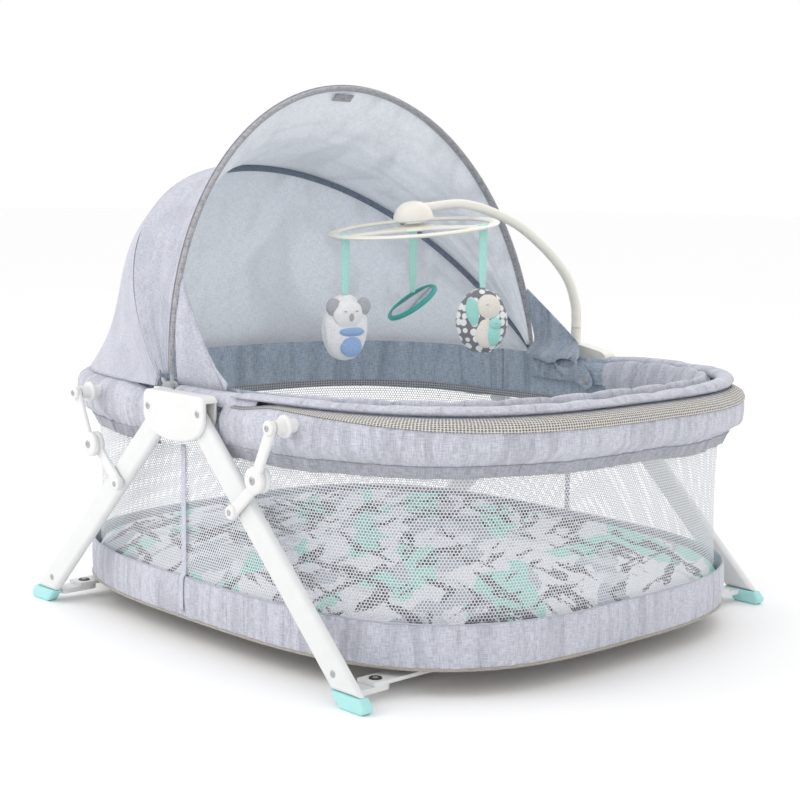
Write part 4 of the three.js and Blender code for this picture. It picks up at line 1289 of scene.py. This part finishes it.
# %% Screws
def screw(name, centre, axis, body, radius=3.4 * MM, ring=None):
    profile = [(0, -0.6 * MM), (0.18 * radius, -0.5 * MM), (0.28 * radius, 0.5 * MM),
               (0.75 * radius, 0.35 * MM), (radius, -0.4 * MM), (radius, -1.2 * MM), (0, -1.2 * MM)]
    head = turned(name, profile, centre, axis, SCREW, 24)
    ready(head, body, "steel")
    if ring:
        washer = [(radius, -1 * MM), (radius, 0.3 * MM), (ring, 0.2 * MM), (ring + 0.6 * MM, -1 * MM)]
        loop = turned(name + "_washer", washer + washer[:1], centre, axis, BLACK, 28)
        ready(loop, body, "steel")


def side_screw(name, spot, y, sy, body, radius):
    """A screw that faces out to the side: spot is its X and Z, and y how far out it sits."""
    screw(name, (spot[0], sy * y, spot[1]), (0, sy, 0), body, radius)


# %% [markdown]
# ## The hub covers
#
# A D-shaped shell with a soft edge all round, and two round wells with a screw in each. The shell is one
# bevelled plate, and a well is a low turned rim with the screw in its middle. Its slight lip is enough to
# catch the light.

# %% Hubs
hub_low, hub_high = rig.box("hub_cover_far")


def hub_outline():
    half, bottom, top, corner = hub_high.x, hub_low.z, hub_high.z, 10 * MM
    turn_in = (half - 26 * MM, bottom + 4 * MM)
    right = curve_points((half, bottom + 26 * MM), (half - 4 * MM, bottom + 9 * MM), turn_in)
    base = curve_points(turn_in, (0, bottom - 4 * MM), (-turn_in[0], turn_in[1]), 12)
    left = [(-x, z) for x, z in reversed(right)]
    crown_left = curve_points((-half, top - corner), (-half, top), (-half + corner, top), 6)
    crown_right = [(-x, z) for x, z in reversed(crown_left)]
    return right + base[1:-1] + left + crown_left + crown_right


HUB_FACE = hub_high.y + 1.2 * MM
HUB_SCREW_X, HUB_SCREW_Z = 46.6 * MM, 0.270
WELL_R = 6.75 * MM
WELL = [(0, 0.15 * MM), (0.72 * WELL_R, 0.15 * MM), (0.92 * WELL_R, 0.5 * MM), (WELL_R, 0.1 * MM),
        (WELL_R, -1 * MM), (0, -1 * MM)]
for side, sy in SIDES:
    span = side_span(hub_high.y - 5.0 * MM, HUB_FACE, sy)
    shell = plate(f"hub_shell_{side}", hub_outline(), *span, WHITE, 3.4 * MM, 6)
    ready(shell, "frame", "white_plastic")
    for k, x in enumerate((-HUB_SCREW_X, HUB_SCREW_X)):
        tag = f"{side}_{k + 1}"
        well = turned(f"hub_well_{tag}", WELL, (x, sy * HUB_FACE, HUB_SCREW_Z), (0, sy, 0), WHITE, 28)
        ready(well, "frame", "white_plastic")
        side_screw(f"hub_screw_{tag}", (x, HUB_SCREW_Z), hub_high.y + 1.7 * MM, sy, "frame", 4.2 * MM)
    dress(WHITE, f"hub_cover_{side}", f"hub_back_{side}")

# %% [markdown]
# ## Knee braces
#
# Each brace is two links with a double disc at the elbow. The links are bevelled plates, and the discs
# and caps are turned. The caps carry a screw each. The screws at the leg's foot and on the cross bar are
# made with them, because they repeat at the same four corners.

# %% Braces
KNEE_LEG, KNEE_ELBOW, KNEE_RIM = (109 * MM, 173 * MM), (155.5 * MM, 214 * MM), (182.5 * MM, 271.6 * MM)
LEG_SCREW_Z = 33 * MM
upper_low, upper_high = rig.box("knee_upper_foot_far")
lower_low, lower_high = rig.box("knee_lower_foot_far")


def link_outline(a, b, r):
    angle = math.atan2(b[1] - a[1], b[0] - a[0])
    quarter = math.pi / 2
    return arc(*a, r, angle + quarter, angle + 3 * quarter) + arc(*b, r, angle - quarter, angle + quarter)


def link(name, a, b, y0, y1, sy):
    return plate(name, link_outline(a, b, 6.6 * MM), *side_span(y0, y1, sy), WHITE, 1.8 * MM)


def disc(name, spot, y, sy, radius, thick, body):
    """A round cap that stands out to the side, with a rounded edge and a slightly raised middle."""
    edge = min(2.2 * MM, thick * 0.45)
    profile = [(0, 0), (radius - 0.5 * MM, 0), (radius, 0.5 * MM), (radius, thick - edge),
               (radius - 0.3 * edge, thick - 0.3 * edge), (radius - edge, thick), (0, thick + 0.5 * MM)]
    obj = turned(name, profile, (spot[0], sy * y, spot[1]), (0, sy, 0), WHITE, 44)
    return ready(obj, body, "white_plastic")


def make_brace(end, sx, side, sy):
    tag = f"{end}_{side}"
    leg, elbow, rim = ((sx * p[0], p[1]) for p in (KNEE_LEG, KNEE_ELBOW, KNEE_RIM))
    upper, lower, legs = f"upper_brace_{tag}", f"lower_brace_{tag}", f"{end}_legs"
    bar = link(f"upper_link_{tag}", rim, elbow, upper_low.y + 0.6 * MM, upper_high.y - 0.8 * MM, sy)
    ready(bar, upper, "white_plastic", f"knee_upper_{tag}", f"elbow_pin_{tag}")
    disc(f"elbow_disc_{tag}", elbow, upper_low.y, sy, 14.5 * MM, upper_high.y - upper_low.y, upper)
    side_screw(f"elbow_screw_{tag}", elbow, upper_high.y + 1.0 * MM, sy, upper, 4.6 * MM)
    disc(f"rim_cap_{tag}", rim, upper_high.y - 1.5 * MM, sy, 8 * MM, 4.0 * MM, upper)
    side_screw(f"rim_screw_{tag}", rim, upper_high.y + 3.3 * MM, sy, upper, 3.8 * MM)
    disc(f"rim_washer_{tag}", rim, 331 * MM, sy, 12 * MM, 4.0 * MM, "frame")
    bar = link(f"lower_link_{tag}", leg, elbow, lower_low.y + 0.4 * MM, lower_high.y - 1.2 * MM, sy)
    ready(bar, lower, "white_plastic", f"knee_lower_{tag}")
    disc(f"elbow_back_{tag}", elbow, lower_low.y, sy, 14.2 * MM, lower_high.y - lower_low.y - 0.4 * MM, lower)
    disc(f"leg_cap_{tag}", leg, lower_low.y + 1 * MM, sy, 8 * MM, 8.0 * MM, lower)
    side_screw(f"leg_cap_screw_{tag}", leg, lower_low.y + 9.4 * MM, sy, lower, 3.8 * MM)
    low = (sx * REACH * (1 - LEG_SCREW_Z / APEX), LEG_SCREW_Z)
    side_screw(f"leg_screw_{tag}", low, leg_high.y + 0.3 * MM, sy, legs, 4.2 * MM)
    dress(WHITE, f"rim_stud_{tag}", f"tongue_{tag}")
    bar_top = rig.box(f"cross_bar_{end}")[1].z
    on_bar = (sx * 274 * MM, sy * 287 * MM, bar_top + 1.0 * MM)
    screw(f"bar_screw_{tag}", on_bar, (0, 0, 1), legs, 3.6 * MM, ring=6.5 * MM)


for end, sx in ENDS:
    for side, sy in SIDES:
        make_brace(end, sx, side, sy)
    dress(COATED, f"cross_bar_{end}")
    dress(SCREW, f"rim_tube_{end}")

# %% [markdown]
# ## The mobile's arm
#
# The arm is a tube that thins towards its end. A curve with a round bevel could make it, but then the
# radius would need its own curve; a swept grid takes the radius as a formula. A small gap marks where the
# arm lifts off its post.

# %% Arm, post and socket
post_low, post_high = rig.box("mobile_post")
POST_Y = (post_low.y + post_high.y) / 2
DROOP = math.radians(6.6)
RING_CENTRE = Vector((0, 19 * MM, 466 * MM))
ARM_ROUTE = [(POST_Y, post_high.z + 0.6 * MM), (POST_Y, 0.342), (0.324, 0.364), (0.306, 0.398),
             (0.262, 0.436), (0.196, 0.473), (0.112, 0.495), (0.044, 0.492), (0.026, 0.490)]


def make_arm():
    def place(u, v):
        y, z = spline(ARM_ROUTE, u)
        ahead_y, ahead_z = spline(ARM_ROUTE, min(u + 0.004, 1)) - spline(ARM_ROUTE, max(u - 0.004, 0))
        size = math.hypot(ahead_y, ahead_z)
        out = Vector((0, ahead_z / size, -ahead_y / size))
        radius = (7.0 - 1.5 * u) * MM
        turn = 2 * math.pi * v
        return Vector((0, y, z)) + out * radius * math.cos(turn) + Vector((radius * math.sin(turn), 0, 0))

    obj = surface("curved_arm", place, 120, 24, (0.5, 0.04), CREAM, close=True)
    return ready(obj, "mobile_arm", "cream_plastic", "mobile_arm")


make_arm()
dress(CREAM, "mobile_post", "mobile_socket")
tilt = (0, -math.sin(DROOP), math.cos(DROOP))
dome = [(0, 0.0095), (0.023, 0.0095), (0.0248, 0.011), (0.0248, 0.0135), (0.0238, 0.018), (0.0212, 0.0235),
        (0.017, 0.028), (0.0115, 0.0313), (0.0058, 0.0328), (0, 0.033)]
ready(turned("dome_cap", dome, RING_CENTRE, tilt, CREAM, 48), "mobile_arm", "cream_plastic", "mobile_dome")

# %% [markdown]
# ## The spinning ring
#
# The ring has a round rim and three flat spokes that widen towards the middle. The rim and the middle are
# turned on one axis, and each spoke is a bevelled strip between them.

# %% Ring
TOY_ANGLES = {"toy_ears": 256.9, "toy_mirror": 136.9, "toy_dots": 16.9}
ring_tilt = Matrix.Translation(RING_CENTRE) @ Matrix.Rotation(DROOP, 4, "X")


def spun(bm, profile, closed, steps):
    verts = [bm.verts.new((r, 0, h)) for r, h in profile]
    edges = [bm.edges.new(pair) for pair in zip(verts, verts[1:] + verts[:1] if closed else verts[1:])]
    bmesh.ops.spin(bm, geom=verts + edges, cent=(0, 0, 0), axis=(0, 0, 1), angle=2 * math.pi, steps=steps,
                   use_merge=True)


def make_ring():
    bm = bmesh.new()
    band = [(r, h * 0.40) for r, h in arc(0.0995, 0, 0.0065, 0, 2 * math.pi, 12)[:-1]]
    spun(bm, band, True, 120)
    spun(bm, [(0, 0.004), (0.018, 0.004), (0.026, 0.002), (0.028, -0.001), (0.022, -0.0025), (0, -0.0025)],
         False, 60)
    bmesh.ops.remove_doubles(bm, verts=bm.verts, dist=0.001 * MM)
    half = [(0.015, 0.019), (0.050, 0.009), (0.078, 0.009), (0.097, 0.024)]
    spoke = [(x, -y) for x, y in half] + half[::-1]
    for degrees in TOY_ANGLES.values():
        face = bm.faces.new([bm.verts.new((x, y, -0.0018)) for x, y in spoke])
        made = bmesh.ops.extrude_face_region(bm, geom=[face])
        lifted = [g for g in made["geom"] if isinstance(g, bmesh.types.BMVert)]
        bmesh.ops.translate(bm, verts=lifted, vec=(0, 0, 0.0036))
        block = {e for v in lifted for e in v.link_edges} | set(face.edges)
        rims = [e for e in block if abs(e.verts[0].co.z - e.verts[1].co.z) < 1e-7]
        corners = {v for e in block for v in e.verts}
        out = bmesh.ops.bevel(bm, geom=rims, offset=0.0012, affect="EDGES", segments=3, profile=0.5,
                              material=-1)
        corners = {v for v in corners if v.is_valid} | set(out["verts"])
        turn = Matrix.Rotation(math.radians(degrees), 3, "Z")
        bmesh.ops.rotate(bm, verts=list(corners), cent=(0, 0, 0), matrix=turn)
    bmesh.ops.recalc_face_normals(bm, faces=bm.faces)
    bmesh.ops.transform(bm, matrix=ring_tilt, verts=bm.verts)
    obj = add_object("spoke_ring", bm, CREAM)
    obj.data.set_sharp_from_angle(angle=math.radians(45))
    return ready(obj, "mobile_spinner", "cream_plastic", "mobile_ring")


make_ring()

# %% [markdown]
# ## Ribbons and toys
#
# Each toy hangs on a satin ribbon that is looped over the ring. A toy is a flat, stuffed shape: a
# squashed sphere with a seam round its edge, and smaller ones sewn on for ears, face and patches. The toys
# turn to face between the foot end and the near side. Their designs are plain ones.

# %% Toy helpers
FACING = math.radians(45)


def hanger(name):
    angle = math.radians(TOY_ANGLES[name])
    flat = Vector((0.096 * math.cos(angle), 0.096 * math.sin(angle), 0))
    return ring_tilt @ flat


def make_ribbon(name, bottom_z, width=5.2 * MM):
    top = hanger(name)
    turn = Matrix.Rotation(FACING, 3, "Z")

    def place(u, v):
        z = top.z + 3 * MM - (top.z + 3 * MM - bottom_z) * v
        twist = 0.5 * math.sin(2.2 * v)
        pinch = 1 - 0.35 * smoothstep(0.75, 1.0, v)
        across = (u - 0.5) * 2 * width
        offset = Vector((math.cos(twist) * across * pinch,
                         math.sin(twist) * across + 1.6 * MM * math.sin(5 * v), 0))
        return Vector((top.x, top.y, z)) + turn @ offset

    obj = surface(f"{name}_ribbon", place, 8, 40, (2 * width, 0.1), RIBBON)
    thicken(obj, 0.5 * MM, 0)
    ready(obj, name, "toy_plush")
    profile = [(0, -2.6 * MM), (6 * MM, -2.6 * MM), (7 * MM, 0), (6 * MM, 3.0 * MM), (0, 3.4 * MM)]
    knot = turned(f"{name}_ribbon_loop", profile, top + Vector((0, 0, 0.4 * MM)), tilt, RIBBON, 20)
    ready(knot, "mobile_spinner", "toy_plush")


def puff(name, body, middle, size, finish, yaw=0.0, lean=0.0, replaced=()):
    """A stuffed piece: a sphere squashed to size, with a slight seam and lumps."""
    bm = bmesh.new()
    layer = bm.loops.layers.uv.new("UVMap")
    bmesh.ops.create_uvsphere(bm, u_segments=40, v_segments=24, radius=1.0, calc_uvs=True)
    for vert in bm.verts:
        swell = 1 + 0.04 * noise.noise(vert.co * 2.2 + Vector(middle) * 40)
        seam = 1 - 0.10 * math.exp(-((vert.co.y / 0.10) ** 2))
        vert.co = Vector((vert.co.x * size[0] * swell * seam, vert.co.y * size[1] * swell,
                          vert.co.z * size[2] * swell * seam))
    for face in bm.faces:
        for loop in face.loops:
            loop[layer].uv = (loop[layer].uv[0] * 0.2, loop[layer].uv[1] * 0.1)
    turn = Matrix.Rotation(FACING + yaw, 4, "Z") @ Matrix.Rotation(lean, 4, "Y")
    bmesh.ops.transform(bm, matrix=Matrix.Translation(middle) @ turn, verts=bm.verts)
    obj = add_object(name, bm, finish)
    return ready(obj, body, "toy_plush", *replaced)


def stuffed_toy(toy, centre, ribbon_z, yaw, size, finish, parts):
    """The stuffed body and what is sewn on it: each part's name, its place to the right, out and up from
    the middle, its half sizes and its finish."""
    make_ribbon(toy, ribbon_z)
    short = toy.removeprefix("toy_")
    main = puff(f"{short}_body", toy, centre, size, finish, yaw, replaced=(toy,))
    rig.padded(main, fill=0.8)
    turn = Matrix.Rotation(FACING + yaw, 3, "Z")
    for part, (right, out, up), part_size, part_finish, *lean in parts:
        middle = centre + turn @ Vector((right, -out, up))
        puff(f"{short}_{part}", toy, middle, part_size, part_finish, yaw, *lean)


# %% [markdown]
# The first toy is white, with two round grey ears, closed eyes, a nose, and a blue scarf and tummy.


# %% Toy with round ears
def make_toy_ears():
    top = hanger("toy_ears")
    parts = [("head", (-0.003, 0.010, 0.017), (0.021, 0.010, 0.019), PLUSH)]
    ear, eye = (0.010, 0.006, 0.011), (0.0022, 0.001, 0.0008)
    for side in (-1, 1):
        parts += [(f"ear_{side + 2}", (side * 0.021, 0.008, 0.026), ear, PLUSH_GREY),
                  (f"eye_{side + 2}", (side * 0.008 - 0.003, 0.0195, 0.021), eye, PLUSH_GREY)]
    parts += [("nose", (-0.003, 0.0205, 0.014), (0.0032, 0.0015, 0.0048), PLUSH_GREY),
              ("scarf", (0.001, 0.014, -0.004), (0.018, 0.0055, 0.006), PLUSH_BLUE),
              ("tummy", (0.001, 0.0135, -0.022), (0.015, 0.005, 0.013), PLUSH_BLUE)]
    stuffed_toy("toy_ears", Vector((top.x, top.y, 0.346)), 0.386, math.radians(36), (0.031, 0.0165, 0.041),
                PLUSH, parts)


# %% [markdown]
# The mirror is a teal ring round a disc of foil, on both sides. It is turned, and hangs aslant.


# %% Toy mirror
def make_toy_mirror():
    top = hanger("toy_mirror")
    centre = Vector((top.x, top.y, 0.368))
    make_ribbon("toy_mirror", 0.381)
    aslant = Matrix.Rotation(math.radians(-34), 3, "Y") @ Vector((0, -0.22, 1))
    lean = Matrix.Rotation(FACING, 3, "Z") @ aslant
    rim = [(0.0, 0.002), (0.0315, 0.002), (0.0325, 0.0032), (0.0350, 0.0034), (0.0372, 0.0018), (0.0376, 0),
           (0.0372, -0.0018), (0.0350, -0.0030), (0, -0.0034)]
    ready(turned("mirror_frame", rim, centre, lean, TEAL, 64), "toy_mirror", "toy_plush", "toy_mirror")
    glass = [(0, 0.0026), (0.0300, 0.0026), (0.0312, 0.0021)]
    back = [(0, -0.0036), (0.0300, -0.0036), (0.0312, -0.0030)]
    for name, profile in (("mirror_foil", glass), ("mirror_foil_back", back)):
        ready(turned(name, profile, centre, lean, MIRROR, 64), "toy_mirror", "toy_plush")


# %% [markdown]
# The second stuffed toy is dotted grey, with a cream face and chest, one mint ear and a small mint figure
# in its arms. The dots are a Voronoi pattern, cut off to round spots.


# %% Toy with dots
def make_toy_dots():
    top = hanger("toy_dots")
    eye = (0.0020, 0.0008, 0.0007)
    parts = [("face", (0.006, 0.0135, 0.018), (0.015, 0.007, 0.0155), PLUSH_CREAM),
             ("chest", (0.003, 0.0135, -0.012), (0.013, 0.006, 0.020), PLUSH_CREAM),
             ("ear", (-0.013, 0.0150, 0.012), (0.008, 0.004, 0.018), PLUSH_MINT, math.radians(-12)),
             ("baby", (0.012, 0.0155, -0.014), (0.009, 0.006, 0.015), PLUSH_MINT),
             ("baby_head", (0.014, 0.0175, -0.002), (0.008, 0.006, 0.0075), PLUSH_MINT),
             ("eye_1", (0.004, 0.0205, 0.021), eye, PLUSH_GREY),
             ("eye_2", (0.015, 0.0232, -0.001), eye, PLUSH_GREY)]
    stuffed_toy("toy_dots", Vector((top.x, top.y, 0.356)), 0.396, math.radians(6), (0.032, 0.0175, 0.040),
                DOTS, parts)


def dotted_plush():
    made = Finish("grey plush with white dots", (0.22, 0.22, 0.24), 0.95, sheen_weight=0.3)
    where = made.coordinates("Object", (105, 105, 105))
    cells = made.node("ShaderNodeTexVoronoi", {"Vector": where, "Scale": 1.0, "Randomness": 0.35})
    dot = made.ramp(cells.outputs["Distance"], 0.50, 0.44)
    fuzz = made.noise("Object", (900, 900, 900))
    ground = made.mix(fuzz, (0.13, 0.13, 0.15), (0.27, 0.27, 0.30))
    made.color(made.mix(dot, ground, (0.85, 0.85, 0.86)))
    made.bump(fuzz, 0.4 * MM, 0.6)
    return made


DOTS = dotted_plush()
make_toy_ears()
make_toy_mirror()
make_toy_dots()

# %% [markdown]
# ## Small trims
#
# A blank grey tab is sewn under the front bow, and the far wing carries a snap. They are small, but the
# eye finds them at once, so each is its own piece.

# %% Tab and snap
tab_at = bow_point(FRONT_BOW, math.radians(89), -9 * MM)


def tab_place(u, v):
    return tab_at + Vector((-6 * MM - 8 * MM * v, (u - 0.5) * 30 * MM, (1 - v) * 1.5 * MM - 6 * MM * v))


tab = surface("blank_tab", tab_place, 10, 6, (0.03, 0.012), BINDING)
thicken(tab, 1.0 * MM, 0)
ready(tab, "canopy_front", "bow_binding")
snap = [(0, 1.6 * MM), (2 * MM, 1.5 * MM), (3.4 * MM, 0.9 * MM), (4.6 * MM, 0.9 * MM), (5.2 * MM, 0), (0, 0)]
button = turned("wing_snap", snap, (0.064, wing_y - 27.2 * MM, 0.264), (0, -1, 0), SCREW, 28)
ready(button, "canopy_front", "steel")
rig.squash(button, "canopy_fold", **gather_wing)

# %% [markdown]
# ## The floor of the picture
#
# The object stands on a wide pale plane, which is not part of it.

# %% Stage
bm = bmesh.new()
bmesh.ops.create_grid(bm, x_segments=1, y_segments=1, size=40)
floor_finish = Finish("studio floor", (0.985, 0.985, 0.985), 0.9)
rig.stage(add_object("studio_floor", bm, floor_finish, smooth=False))
print("studio floor: 1 face")

# %% Finish
with open("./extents.json", "w") as file:
    json.dump({"cad": [list(map(float, corner)) for corner in cad_box],
               "visual": [list(map(float, corner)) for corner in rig.bounds()]}, file)
total = sum(len(o.data.polygons) for o in bpy.data.objects if o.type == "MESH")
print("faces in all:", total)
